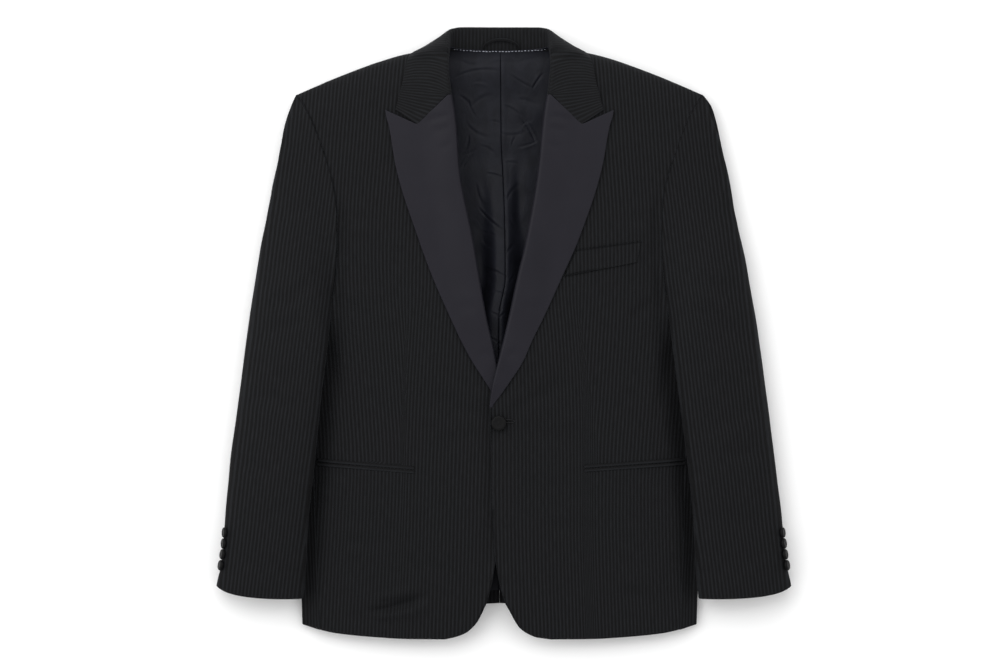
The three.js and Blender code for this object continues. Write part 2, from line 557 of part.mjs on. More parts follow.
function buildLapel(side) {
  const { notch, peak } = LAPEL_TOP;
  const kink = notch[1] - mix(GORGE_Y, peak[1], NOTCH_AT);
  const grid = steps(15).map((t) => {
    const innerY = mix(LAPEL_FOOT, GORGE_Y, t);
    const outerY = mix(LAPEL_FOOT, peak[1], t);
    const radius = rollRadius(innerY);
    const foot = rollLine(side)(innerY) + radius;
    const edge = lapelEdge(side)(outerY);
    const turn = [-90, -45, 0, 45].map(THREE.MathUtils.degToRad).map((a) => {
      const z = lyingZ(side, foot, innerY) - LEAF.join + radius * (1 + Math.sin(a));
      return vector([foot - radius * Math.cos(a), innerY, z]);
    });
    const face = [0, 0.17, 0.34, NOTCH_AT, 0.75, 1].map((s) => {
      const x = mix(foot, edge, s);
      const notchShape = s < NOTCH_AT ? s / NOTCH_AT : (1 - s) / (1 - NOTCH_AT);
      const y = mix(innerY, outerY, s) + kink * notchShape * smooth((t - 0.6) / 0.4);
      return above(side, x, y, leafRise(x - foot, radius));
    });
    return [...turn, ...face];
  });
  return wall(`lapel_${sideName(side)}`, grid, { thick: LAPEL_CLOTH, material: SATIN, side });
}

/** Point v (0 to 1) of the curve that starts at a, passes b half way and ends at c. */
function through(a, b, c, v) {
  return a.map((start, k) => {
    const pull = 2 * b[k] - (start + c[k]) / 2;
    return (1 - v) ** 2 * start + 2 * v * (1 - v) * pull + v * v * c[k];
  });
}

/** A point of the collar leaf as given, or laid on the front when it has no height of its own. */
function laid([x, y, z]) {
  return z === undefined ? above(-1, x, y, leafRise(x - 70, FOLD_RADIUS)).toArray() : [x, y, z];
}

/** Half of the collar and its mirror image, as rows from one gorge round the neck to the other. */
function bothHalves(half) {
  const mirrored = half.slice(1).map((row) => row.map(([x, y, z]) => [-x, y, z]));
  return [...[...half].reverse(), ...mirrored].map((row) => row.map(vector));
}

/** Where the leaf (way 1) or the stand (way -1) rounds the fold, from its crest to where it runs on. */
function foldArc(crest, leafAt, standAt, way) {
  const toLeaf = leafAt.clone().sub(crest).normalize();
  const toStand = standAt.clone().sub(crest).normalize();
  const out = toLeaf.clone().add(toStand).negate().normalize();
  const across = toLeaf.clone().sub(toStand).projectOnPlane(out).setLength(way * COLLAR_ROLL);
  const span = (Math.PI - toLeaf.angleTo(toStand)) / 2;
  const centre = crest.clone().addScaledVector(out, -COLLAR_ROLL);
  return [0, 0.5, 1].map((v) => {
    const around = out.clone().multiplyScalar(COLLAR_ROLL * Math.cos(span * v));
    return centre.clone().add(around).addScaledVector(across, Math.sin(span * v)).toArray();
  });
}

function buildCollar() {
  const shares = [0.1, 0.26, 0.5, 0.76, 1];
  const stations = COLLAR.map(({ fold, middle, edge, seam }) => {
    const [crest, leafAt, leafEdge] = [laid(fold), laid(middle), laid(edge)];
    const arc = (way) => foldArc(...[crest, leafAt, seam].map(vector), way);
    const [leafArc, standArc] = [arc(1), arc(-1)];
    const leaf = shares.map((v) => through(leafArc.at(-1), leafAt, leafEdge, v));
    const stand = [0.33, 0.66, 1].map((v) => mixPoints(standArc.at(-1), seam, v));
    return { leaf: [...leafArc, ...leaf], stand: [...standArc, ...stand] };
  });
  const endShares = [0, 0.02, 0.05, ...shares.map((v) => mix(0.05, 1, v))];
  const ends = LEAF_END.map(({ inner, outer }) => endShares.map((v) => laid(mixPoints(inner, outer, v))));
  const leaf = [...stations.map((station) => station.leaf), ...ends];
  const stand = stations.map((station) => station.stand);
  const beforeLeaf = leaf.map((row, i) => [stand[i] ? stand[i][1] : row[0]]);
  const beforeStand = stand.map((_, i) => [leaf[i][1]]);
  const leafOptions = { thick: LAPEL_CLOTH, before: bothHalves(beforeLeaf).flat() };
  const standOptions = { down: true, before: bothHalves(beforeStand).flat() };
  return [
    wall("collar_leaf", bothHalves(leaf), leafOptions),
    wall("collar_stand", bothHalves(stand), standOptions),
  ];
}

function buildHangerLoop() {
  const { half, rise, width, segments, centre } = HANGER_LOOP;
  const { low, high, cloth } = HANGER_LOOP_Z;
  const grid = steps(segments).map((v) => [0, 0.5, 1].map((w) => {
    const x = centre - (half + (width * w) / 2) * Math.cos(Math.PI * v);
    const y = HANGER_LOOP.y + (rise - width * (1 - w)) * Math.sin(Math.PI * v);
    return vector([x, y, mix(low, high, smooth((y - HANGER_LOOP.y) / 9))]);
  }));
  return wall("hanger_loop", grid, { thick: cloth, down: true });
}

// ---- pockets and buttons --------------------------------------------------------------------------------
/** A strip laid on a front between two lines, each given by its inner and outer end. */
function strip(name, side, bottom, top, cloth, rows) {
  const grid = steps(rows).map((v) => steps(6).map((u) => {
    const [x, y] = mixPoints(mixPoints(...bottom, u), mixPoints(...top, u), v);
    return above(side, x, y, AIR + cloth);
  }));
  return wall(name, grid, { thick: cloth, side });
}

function buildPockets() {
  const { side: weltSide, bottom, top } = BREAST_WELT;
  const welt = strip("breast_welt", weltSide, bottom, top, BREAST_WELT_CLOTH, 3);
  const jets = [-1, 1].flatMap((side) => ["upper", "lower"].map((which, i) => {
    const ends = [HIP_JET.inner, column(side, HIP_JET.outerRight, HIP_JET.outerLeft)];
    const line = (drop) => ends.map(([x, y]) => [x, y - drop]);
    const drop = i * HIP_JET_SIZE.pitch;
    const name = `hip_jet_${which}_${sideName(side)}`;
    return strip(name, side, line(drop + HIP_JET_SIZE.deep), line(drop), HIP_JET_SIZE.cloth, 1);
  }));
  return [welt, ...jets];
}

/** Covered button: a shallow dome over a straight rim, seated just above the cloth. */
function button(name, size, at, normal, segments) {
  const r = size.across / 2;
  const h = size.thick;
  const base = [[0, 0], [0.8 * r, 0], [r, 0.3 * h]];
  const profile = [...base, [r, 0.6 * h], [0.8 * r, 0.9 * h], [0.45 * r, h], [0, h]];
  const geometry = new THREE.LatheGeometry(profile.map(([x, y]) => new THREE.Vector2(x, y)), segments);
  const mesh = named(name, geometry, BUTTON);
  mesh.quaternion.setFromUnitVectors(new THREE.Vector3(0, 1, 0), normal);
  mesh.position.copy(at).addScaledVector(normal, SEAM);
  return mesh;
}

/** Four buttons in a row up the outer edge of the cuff, each seated on the facet under it. */
function cuffButtons(side, rings) {
  const place = rings.map(({ top }) => mixPoints(top[0], top[1], 0.8));
  const inward = rings.map(({ top }) => vector(top[1]).sub(vector(top[0])));
  return Array.from({ length: CUFF_BUTTON.count }, (_, n) => {
    const y = CUFF_BUTTON.lowest + n * CUFF_BUTTON.pitch;
    const i = place.findIndex(([, py]) => py < y);
    const share = (place[i - 1][1] - y) / (place[i - 1][1] - place[i][1]);
    const at = vector(mixPoints(place[i - 1], place[i], share));
    const down = vector(place[i]).sub(vector(place[i - 1]));
    const normal = inward[i].clone().lerp(inward[i - 1], 1 - share).cross(down).normalize();
    const name = `cuff_button_${sideName(side)}_${n + 1}`;
    const mirror = new THREE.Vector3(side, 1, 1);
    return button(name, CUFF_BUTTON, at.multiply(mirror), normal.multiply(mirror), 12);
  });
}

/** The front button rests on the highest point of the cloth under it. */
function buildFrontButton(front) {
  const { x, y, across } = FRONT_BUTTON;
  const reach = across / 2;
  const heights = [[0, 0], [reach, 0], [-reach, 0], [0, reach], [0, -reach]].flatMap(([dx, dy]) => {
    const ray = new THREE.Raycaster(new THREE.Vector3(x + dx, y + dy, 200), new THREE.Vector3(0, 0, -1));
    return ray.intersectObject(front).map(({ point }) => point.z);
  });
  const at = new THREE.Vector3(x, y, Math.max(...heights));
  return button("front_button", FRONT_BUTTON, at, new THREE.Vector3(0, 0, 1), 20);
}

// ---- assembly -------------------------------------------------------------------------------------------
const jacket = new THREE.Group();
for (const side of [-1, 1]) {
  jacket.add(buildFront(side), buildSide(side), buildBack(side), ...buildSleeve(side));
  jacket.add(buildLapel(side), buildLining(side));
}
jacket.add(...buildCollar(), buildHangerLoop(), ...buildPockets());
jacket.add(buildFrontButton(jacket.getObjectByName("front_left")));

// the origin is the middle of the underside
const box = new THREE.Box3().setFromObject(jacket);
const middle = box.getCenter(new THREE.Vector3());
jacket.position.set(-middle.x, -middle.y, -box.min.z);

export default jacket;
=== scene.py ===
"""A dinner jacket laid flat on its back, front up.

Worsted wool with a tonal cord stripe, silk satin lapels, a cupro lining seen in the neck, and covered
buttons. Each cut piece is a thin shell of cloth, shaped and creased in millimetres and set in the frame.
In those sizes x runs out from the centre on either side, y up from the hem and z off the table. The wearer's
right side is mirrored, and has sizes of its own where it differs.
"""
import logging
import math
from collections.abc import Callable
from dataclasses import dataclass, field
from enum import Enum

import bpy
import numpy as np
from bpy.types import Material, Node, NodeSocket, NodeTree, Object
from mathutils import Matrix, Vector


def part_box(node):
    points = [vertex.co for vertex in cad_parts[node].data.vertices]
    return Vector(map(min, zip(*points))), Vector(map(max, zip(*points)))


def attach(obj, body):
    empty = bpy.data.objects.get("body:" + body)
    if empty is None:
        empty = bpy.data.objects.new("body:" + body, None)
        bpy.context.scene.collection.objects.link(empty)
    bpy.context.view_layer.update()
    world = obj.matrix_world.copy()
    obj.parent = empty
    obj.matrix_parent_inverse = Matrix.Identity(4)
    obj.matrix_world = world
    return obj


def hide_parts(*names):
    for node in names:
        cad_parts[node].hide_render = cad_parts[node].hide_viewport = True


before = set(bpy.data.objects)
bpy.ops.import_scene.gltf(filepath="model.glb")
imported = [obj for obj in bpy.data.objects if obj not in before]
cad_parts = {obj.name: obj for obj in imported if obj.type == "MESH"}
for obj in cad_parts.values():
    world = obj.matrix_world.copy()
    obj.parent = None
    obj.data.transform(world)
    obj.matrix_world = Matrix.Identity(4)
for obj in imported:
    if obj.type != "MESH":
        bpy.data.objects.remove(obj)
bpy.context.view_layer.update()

log = logging.getLogger("dinner_jacket")

# an array of numbers: places and sizes in millimetres, or shares from 0 to 1
Grid = np.ndarray

MM = 0.001
LEFT, RIGHT = 1, -1
SIDES = (RIGHT, LEFT)

# ---- driving sizes, in millimetres ---------------------------------------------------------------------
# walls of the cloths
CLOTH, SLEEVE_CLOTH, LAPEL_CLOTH, LINING_CLOTH = 2.0, 1.8, 2.4, 1.0
# gap left at a seam; an overlap is a gap below zero
SEAM, OVERLAP, COLLAR_OVERLAP = 0.34, -0.5, -0.9
AIR = 0.5

# the body's section is a rounded box: powers of its upper and lower half
TOP_POWER, BASE_POWER = 2.4, 6.0
SHOULDER_ROLL, BACK_ROLL = 60.0, 30.0
NECK_X, NECK_Y, NECK_BACK, NECK_DIP = 60.0, 765.0, 762.0, 15.0
NECK_CLEAR = 7.0
ARM_TOP, ARM_TOP_X, ARM_BOTTOM, ARM_DROP, ARM_SIDE = 705.0, 263.0, 445.0, 17.0, 430.0
ARM_FRONT, ARM_BACK = 216.0, 217.0
# side seams, as shares of the body's half width
SEAM_FRONT, SEAM_BACK = 0.916, 0.86
GORGE_Y, PEAK_Y, NOTCH_Y, LAPEL_FOOT = 702.5, 682.5, 664.5, 301.0
# share of the lapel's width at which its notch lies
NOTCH_AT = 0.51
FOLD_RADIUS, COLLAR_ROLL = 4.6, 4.2
FRONT_HEM_OUT = 14.0
# rise of a leaf near its edge and at its roll, and the distance over which it eases
LEAF_LIFT, LEAF_JOIN, LEAF_REACH = 3.2, 2.2, 40.0
LEAF_UNDER = 3.3
# the cloth falls this far beside the sleeves, over this distance
SIDE_DROP, SIDE_DROP_REACH = 8.5, 26.0
CUFF_Y, CUFF_TILT = 53.4, 16.0
BUTTON_X, BUTTON_Y = -0.9, 280.5
SLEEVE_LEAN = math.radians(7.0)
COLLAR_PITCH = 4.3
# x and y of the upper and lower end of each waist dart
DARTS = {LEFT: (106, 391.5, 122, 286), RIGHT: (121, 375.5, 124, 297)}


# ---- small tools -----------------------------------------------------------------------------------------
def mix(a: Grid | float, b: Grid | float, t: Grid | float) -> Grid | float:
    """Value a share t of the way from a to b."""
    return a + (b - a) * t


def clamp(v: Grid) -> Grid:
    """Values held between 0 and 1."""
    return np.clip(v, 0.0, 1.0)


def smooth(v: Grid) -> Grid:
    """Eased step from 0 to 1."""
    v = clamp(v)
    return v * v * (3 - 2 * v)


def bulge(e: Grid, power: float) -> Grid:
    """Rise of a rounded edge: 0 at the edge, 1 from a distance of 1 inward."""
    return (1 - (1 - clamp(e)) ** power) ** (1 / power)


def bell(v: Grid) -> Grid:
    """Height of a bell curve: 1 at the middle, a third at a distance of 1."""
    return np.exp(-(v**2))


def even(v: Grid) -> Grid:
    """Shares bunched towards both ends, as points round a half circle are."""
    return (1 - np.cos(np.pi * v)) / 2


def spread(count: int, edge: float) -> Grid:
    """Shares from 0 to 1 with one narrow cell at each end.

    Args:
        count: number of wide cells between the two narrow ones.
        edge: share taken by each narrow cell.

    Returns:
        The shares in rising order.
    """
    return np.concatenate([[0.0], np.linspace(edge, 1 - edge, count + 1), [1.0]])


class Curve:
    """A smooth curve through given values, numbers or points, that never overshoots them."""

    def __init__(self, at: Grid, value: Grid) -> None:
        """Stores the rows and works out a tangent at each."""
        self.at = np.asarray(at, float)
        self.value = np.asarray(value, float)
        steps = np.diff(self.at).reshape(-1, *[1] * (self.value.ndim - 1))
        slope = np.diff(self.value, axis=0) / steps
        same = slope[:-1] * slope[1:] > 0
        total = np.where(same, slope[:-1] + slope[1:], 1.0)
        inner = np.where(same, 2 * slope[:-1] * slope[1:] / total, 0.0)
        self.tangent = np.concatenate([slope[:1], inner, slope[-1:]])

    def __call__(self, v: Grid) -> Grid:
        """Values of the curve at v, held at its ends.

        Args:
            v: places along the curve.

        Returns:
            One value for each place.
        """
        v = np.clip(np.asarray(v, float), self.at[0], self.at[-1])
        i = np.clip(np.searchsorted(self.at, v, side="right") - 1, 0, len(self.at) - 2)
        extra = (...,) + (None,) * (self.value.ndim - 1)
        span = (self.at[i + 1] - self.at[i])[extra]
        u = ((v - self.at[i])[extra]) / span
        u2, u3 = u * u, u * u * u
        start = (2 * u3 - 3 * u2 + 1) * self.value[i] + (u3 - 2 * u2 + u) * span * self.tangent[i]
        return start + (3 * u2 - 2 * u3) * self.value[i + 1] + (u3 - u2) * span * self.tangent[i + 1]


class Table:
    """Rows of sizes under named columns."""

    def __init__(self, columns: str, *rows: tuple[float, ...]) -> None:
        """Splits the rows into their columns."""
        self.columns = dict(zip(columns.split(), np.array(rows, float).T))

    def curve(self, key: str, column: str) -> Curve:
        """Smooth curve of one column against another."""
        return Curve(self.columns[key], self.columns[column])

    def rows(self) -> list[dict[str, float]]:
        """The rows, each as names and values."""
        names = list(self.columns)
        return [dict(zip(names, map(float, row))) for row in zip(*self.columns.values())]


BODY = Table(
    "y half crown fold",
    (-10, 255, 15, 10), (60, 257, 21, 11), (160, 261, 28, 12), (280, 263, 33, 13), (400, 263, 36, 14),
    (450, 264, 37, 14), (530, 287, 37, 15), (620, 291, 36, 17), (705, 268, 34, 19), (800, 268, 34, 19),
)
SHOULDER = Table("x y", (0, 767), (60, 765), (90, 763), (120, 758), (155, 748), (208, 728.5), (263, 705))
ARMHOLE = Table(
    "y front back",
    (445, 216, 217), (475, 212.5, 206), (510, 210.5, 201), (545, 210.5, 200), (583, 214.5, 206),
    (607, 220.5, 214), (632, 228.5, 224), (655, 237, 234), (678, 247, 245.5), (697, 257.5, 257),
    (705, 263, 263),
)
LAP = Table("y lift", (0, 2.8), (270, 3), (312, 6.4), (355, 6.4), (420, 1.5), (470, 0))
FRONT_EDGE = Table(
    "y right left",
    (0, 71, 67), (3, 57, 47), (8, 44, 35.5), (14, 36, 27), (23.5, 28, 20), (34, 22.5, 14.5),
    (49, 16, 6.5), (69, 10.5, 0.8), (88, 6.8, -3.3), (120, 2.2, -7.5), (160, -2, -10), (260, -11, -11.8),
    (300, -11, -12.4),
)
FRONT_HEM = Table("x y", (67, 0), (120, 0.5), (165, 3), (211, 7.5), (240, 14), (258, 20))
BACK_HEM = Table("x y", (0, 45.5), (120, 38), (220, 25), (258, 20))
LAPEL = Table(
    "y rollRight rollLeft edgeRight edgeLeft",
    (303, -8, -13, -2, -9), (329, -3, -9.5, 14.5, 9.5), (361, 4, -1.5, 35, 30), (388, 10, 5, 49.5, 42),
    (414, 16, 11, 61.5, 55), (470, 26, 23, 86, 80.5), (519, 34.5, 34.5, 104, 102),
    (608, 51.4, 49.6, 132, 131), (660, 55.0, 54.8, 141, 140.5), (682.5, 57.5, 57.4, 146, 146),
    (706, 61.5, 61.5, 146, 146),
)
SLEEVE_EDGE = Table(
    "y outerRight outerLeft innerRight innerLeft",
    (52, 368, 380, 254, 258), (69, 366.6, 378, 251.5, 255.5), (100, 360, 371.5, 249.5, 253),
    (153, 355.7, 366, 246.4, 250.3), (228, 348.8, 357.2, 238, 242.3), (309, 338, 346.8, 230, 231.8),
    (400, 326.4, 334.3, 219, 220.5), (445, 319.6, 326.8, 216, 216), (507, 309.4, 315, 216, 216),
    (543, 301.6, 306.6, 216, 216), (587, 293.8, 299, 216, 216), (623, 285.5, 291, 216, 216),
    (669, 277.2, 281, 216, 216), (691, 269.6, 274, 216, 216), (705, 263, 263, 216, 216),
)
SLEEVE_SECTION = Table(
    "t outerZ innerZ rise",
    (0, 19, 42, 20), (0.12, 18, 45, 22), (0.35, 18, 46, 26), (0.65, 18, 42, 26), (0.85, 18, 34, 24),
    (1, 18, 26, 22),
)
# centre back to gorge: fold, middle and outer edge of the leaf, neck seam; z None lies on the front
COLLAR = (
    ((0, 793.5, 4.6), (0, 774, 0.35), (0, 744, 0), (0, 763.2, 6.2)),
    ((30, 793.5, 4.6), (31, 774, 0.35), (33, 744, 0), (29, 763.4, 6.4)),
    ((50, 793.3, 6.4), (55, 776, 0.9), (62, 745, 0), (48, 764, 7.6)),
    ((60, 791, 12), (72, 777, 2.5), (84, 746, 0), (58, 765.3, 11.5)),
    ((65.5, 785, 24), (83, 775, 9), (100, 750, 0.8), (62, 766.5, 17)),
    ((67.2, 774, 39), (93.5, 770, 21.5), (110.5, 755.5, 5.6), (64.2, 761, 24)),
    ((67.5, 763, 48), (96, 765, 35.5), (115.5, 758, 18.6), (65, 751, 28)),
    ((67.2, 753, None), (95, 757, 46.5), (117, 753.6, 34.6), (65.2, 744, 32)),
    ((66.8, 742, None), (93.5, 748, None), (118, 745.5, None), (65, 735, 35)),
    ((65.6, 723, None), (93, 732, None), (121.6, 729.5, None), (63.6, 721, 38)),
    ((63, 704.5, None), (92.5, 713.5, None), (124.6, 714.6, None), (61.6, 704.5, 41)),
)
LEAF_END = (
    ((67.4, 702.6), (126.5, 708.5)), ((79.8, 690.6), (128.5, 700.2)), ((92.6, 678.1), (130.6, 691.8)),
    ((105.6, 665.6), (133, 684)),
)
# degrees by which the stripes lean outward going down, inside and outside the dart
STRIPE_LEAN = Table(
    "y innerRight outerRight innerLeft outerLeft",
    (0, 1.5, 3, 2, 3), (100, 1.5, 3.5, 1.5, 2), (190, 1.5, 2.5, 0, -0.5), (240, 2, -2, 0.3, -3),
    (290, 2.2, -4, 1, -4), (350, 3, -4, 3, -3.5), (410, 3.5, -4, 5, -3), (470, 2.5, -1.5, 2.5, -0.5),
    (530, 3.6, 2, 3.5, 1.5), (600, 4.5, 4.5, 4, 4), (800, 4.5, 4.5, 4, 4),
)

HALF, CROWN, FOLD = (BODY.curve("y", name) for name in ("half", "crown", "fold"))
SHOULDER_Y = SHOULDER.curve("x", "y")
ARM_FRONT_X, ARM_BACK_X = ARMHOLE.curve("y", "front"), ARMHOLE.curve("y", "back")
LAP_LIFT = LAP.curve("y", "lift")
FRONT_HEM_Y, BACK_HEM_Y = FRONT_HEM.curve("x", "y"), BACK_HEM.curve("x", "y")
OUTER_Z, INNER_Z, RISE = (SLEEVE_SECTION.curve("t", name) for name in ("outerZ", "innerZ", "rise"))


def side_word(side: int) -> str:
    """The wearer's side, as it ends the names of pieces."""
    return "left" if side > 0 else "right"


def handed(table: Table, column: str, side: int) -> Curve:
    """Curve of a column that differs between the wearer's two sides."""
    return table.curve("y", (column + side_word(side).capitalize()) if column else side_word(side))


# ---- the form the cloth lies on --------------------------------------------------------------------------
class BodyForm:
    """Heights of the flat-laid body of the jacket, front side and back side."""

    @staticmethod
    def roundness(x: Grid, y: Grid, power: float) -> Grid:
        """Share of the full height at a distance out from the centre."""
        return (1 - np.minimum(np.abs(x) / HALF(y), 1) ** power) ** (1 / power)

    @classmethod
    def top(cls, x: Grid, y: Grid) -> Grid:
        """Outer face of the front side."""
        shoulder = bulge((SHOULDER_Y(np.abs(x)) - y) / SHOULDER_ROLL, 2.2)
        return FOLD(y) + CROWN(y) * cls.roundness(x, y, TOP_POWER) * shoulder

    @classmethod
    def base(cls, x: Grid, y: Grid) -> Grid:
        """Outer face of the back, which lies on the table."""
        shoulder = bulge((SHOULDER_Y(np.abs(x)) - y) / BACK_ROLL, 3)
        flat = cls.roundness(x, y, BASE_POWER) * shoulder
        collar = LEAF_UNDER * smooth((y - 693) / 38) * smooth((158 - np.abs(x)) / 48)
        return FOLD(y) * (1 - flat) + collar * flat

    @staticmethod
    def side_point(y: Grid, a: Grid) -> tuple[Grid, Grid]:
        """Distance out and height round the side fold: 0 on top, 0.5 at the fold, 1 underneath.

        Args:
            y: distances up from the hem.
            a: shares of the way round the fold.

        Returns:
            Distances out and heights.
        """
        upper = a < 0.5
        power = np.where(upper, TOP_POWER, BASE_POWER)
        share = np.where(upper, SEAM_FRONT, SEAM_BACK)
        angle = np.arccos(share ** (power / 2)) * np.abs(1 - 2 * a)
        rise = np.sin(angle) ** (2 / power)
        out = HALF(y) * np.cos(angle) ** (2 / power)
        return out, FOLD(y) + rise * np.where(upper, CROWN(y), -FOLD(y))

    @staticmethod
    def underarm(x: Grid) -> Grid:
        """Height up the jacket of the underarm seam."""
        share = clamp((x - ARM_FRONT) / (HALF(ARM_SIDE) - ARM_FRONT))
        return ARM_BOTTOM - ARM_DROP * np.sin(np.pi / 2 * share)

    @staticmethod
    def side_fall(side: int, x: Grid, y: Grid) -> Grid:
        """Drop of the cloth beside and under the sleeve that rests on it."""
        sleeve = handed(SLEEVE_EDGE, "inner", side)(np.clip(y, 52, 445))
        return SIDE_DROP * smooth((x - sleeve + SIDE_DROP_REACH) / SIDE_DROP_REACH) * smooth((430 - y) / 80)

    @classmethod
    def lying(cls, side: int, x: Grid, y: Grid) -> Grid:
        """Outer face of a front, the left one lapped over the right."""
        lap = LAP_LIFT(y) * smooth(1 - (x - 8) / 80) if side > 0 else 0.0
        return cls.top(x, y) + lap - cls.side_fall(side, x, y)

    @classmethod
    def front(cls, side: int, x: Grid, y: Grid) -> Grid:
        """Outer face of a front, dipped under the collar at the neck."""
        at_neck = smooth(1 - (x - NECK_X - 2) / 24) * smooth((y - 700) / 30)
        return cls.lying(side, x, y) - NECK_DIP * at_neck * smooth((SHOULDER_Y(x) - y) / 14)

    @classmethod
    def above(cls, side: int, x: Grid, y: Grid, rise: Grid) -> Grid:
        """Points at a distance off the cloth of a front, square to it.

        Args:
            side: the wearer's side.
            x: distances out from the centre.
            y: distances up from the hem.
            rise: distance off the cloth.

        Returns:
            Points as x, y and z.
        """
        x, y = np.broadcast_arrays(np.asarray(x, float), np.asarray(y, float))
        step = 2.0
        slope_x = (cls.lying(side, x + step, y) - cls.lying(side, x - step, y)) / (2 * step)
        slope_y = (cls.lying(side, x, y + step) - cls.lying(side, x, y - step)) / (2 * step)
        out = np.stack([-slope_x, -slope_y, np.ones_like(slope_x)], -1)
        out /= np.linalg.norm(out, axis=-1, keepdims=True)
        return np.stack([x, y, cls.lying(side, x, y)], -1) + out * np.asarray(rise, float)[..., None]


def fold_radius(y: Grid) -> Grid:
    """Radius of the roll of a lapel, dying away at its foot."""
    return mix(1.2, mix(3, FOLD_RADIUS, smooth((y - 330) / 110)), smooth((y - 296) / 40))


# ---- creases ---------------------------------------------------------------------------------------------
class Creases:
    """Soft troughs and ridges pressed or slept into a cloth, each along a bowed line."""

    COLUMNS = "x0 y0 x1 y1 width depth bow"
    # a crease has a low shoulder beside it: its height, its place and its width, in widths
    SHOULDER, SHOULDER_AT, SHOULDER_WIDE = 0.55, 1.9, 1.5

    def __init__(self, *rows: tuple[float, ...]) -> None:
        """Takes rows of line ends, width, depth (below zero for a trough) and bow, in millimetres."""
        self.rows = Table(self.COLUMNS, *rows).rows() if rows else []

    def relief(self, x: Grid, y: Grid) -> Grid:
        """Height of the creased cloth over the smooth one.

        Args:
            x: distances out from the centre.
            y: distances up from the hem.

        Returns:
            Heights, below zero in a trough.
        """
        total = np.zeros(np.broadcast(x, y).shape)
        for row in self.rows:
            dx, dy = row["x1"] - row["x0"], row["y1"] - row["y0"]
            length = math.hypot(dx, dy)
            along = ((x - row["x0"]) * dx + (y - row["y0"]) * dy) / length**2
            across = (-(x - row["x0"]) * dy + (y - row["y0"]) * dx) / length
            across = across - row["bow"] * 4 * along * (1 - along)
            width = row["width"] * (0.75 + 0.5 * clamp(along))
            fade = smooth((along + 0.12) / 0.34) * smooth((1.12 - along) / 0.5)
            groove = bell(across / width)
            beside = (across - self.SHOULDER_AT * width) / (self.SHOULDER_WIDE * width)
            shoulder = self.SHOULDER * bell(beside)
            total += row["depth"] * fade * (groove - shoulder)
        return total


RIPPLE_WAVES = 7


def ripple(x: Grid, y: Grid, seed: int, length: float, height: float) -> Grid:
    """Slow uneven rise and fall of lying cloth, from a few crossed waves.

    Args:
        x: distances out.
        y: distances up the jacket.
        seed: picks one set of waves.
        length: usual distance between two crests.
        height: greatest rise.

    Returns:
        Heights of the same shape as x and y.
    """
    rng = np.random.default_rng(seed)
    total = np.zeros(np.broadcast(x, y).shape)
    for _ in range(RIPPLE_WAVES):
        angle, phase = rng.uniform(0, np.pi), rng.uniform(0, 2 * np.pi)
        turn = 2 * np.pi / (length * rng.uniform(0.7, 1.6))
        total += np.sin(turn * (x * math.cos(angle) + y * math.sin(angle)) + phase)
    return height * total / RIPPLE_WAVES


# ---- cloth shells ----------------------------------------------------------------------------------------
class Place:
    """Moves points from the jacket's own sizes to the frame."""

    def __init__(self) -> None:
        """Measures the shift at the front button, which both descriptions hold."""
        low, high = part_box("front_button")
        middle = (low + high) / 2
        self.shift = np.array([middle.x - BUTTON_X * MM, middle.y - BUTTON_Y * MM, 0.0])

    def metres(self, points: Grid, side: int = LEFT) -> Grid:
        """Points in metres in the frame, mirrored for the right side."""
        return points * np.array([side * MM, MM, MM]) + self.shift


PLACE = Place()


def add_mesh(name: str, points: Grid, faces: list, material: Material) -> Object:
    """A smooth-shaded mesh object in the frame.

    Args:
        name: name of the piece.
        points: vertices in metres in the frame.
        faces: vertex numbers of each face.
        material: its finish.

    Returns:
        The new object, linked to the scene.
    """
    mesh = bpy.data.meshes.new(name)
    mesh.from_pydata(points.tolist(), [], faces)
    mesh.polygons.foreach_set("use_smooth", np.ones(len(mesh.polygons), bool))
    mesh.materials.append(material)
    piece = bpy.data.objects.new(name, mesh)
    bpy.context.scene.collection.objects.link(piece)
    return piece


def arc_lengths(points: Grid, axis: int) -> Grid:
    """Distance run along each row (axis 1) or column (axis 0) of a grid of points."""
    gaps = np.linalg.norm(np.diff(points, axis=axis), axis=-1)
    first = np.zeros_like(np.take(gaps, [0], axis=axis))
    return np.cumsum(np.concatenate([first, gaps], axis=axis), axis=axis)


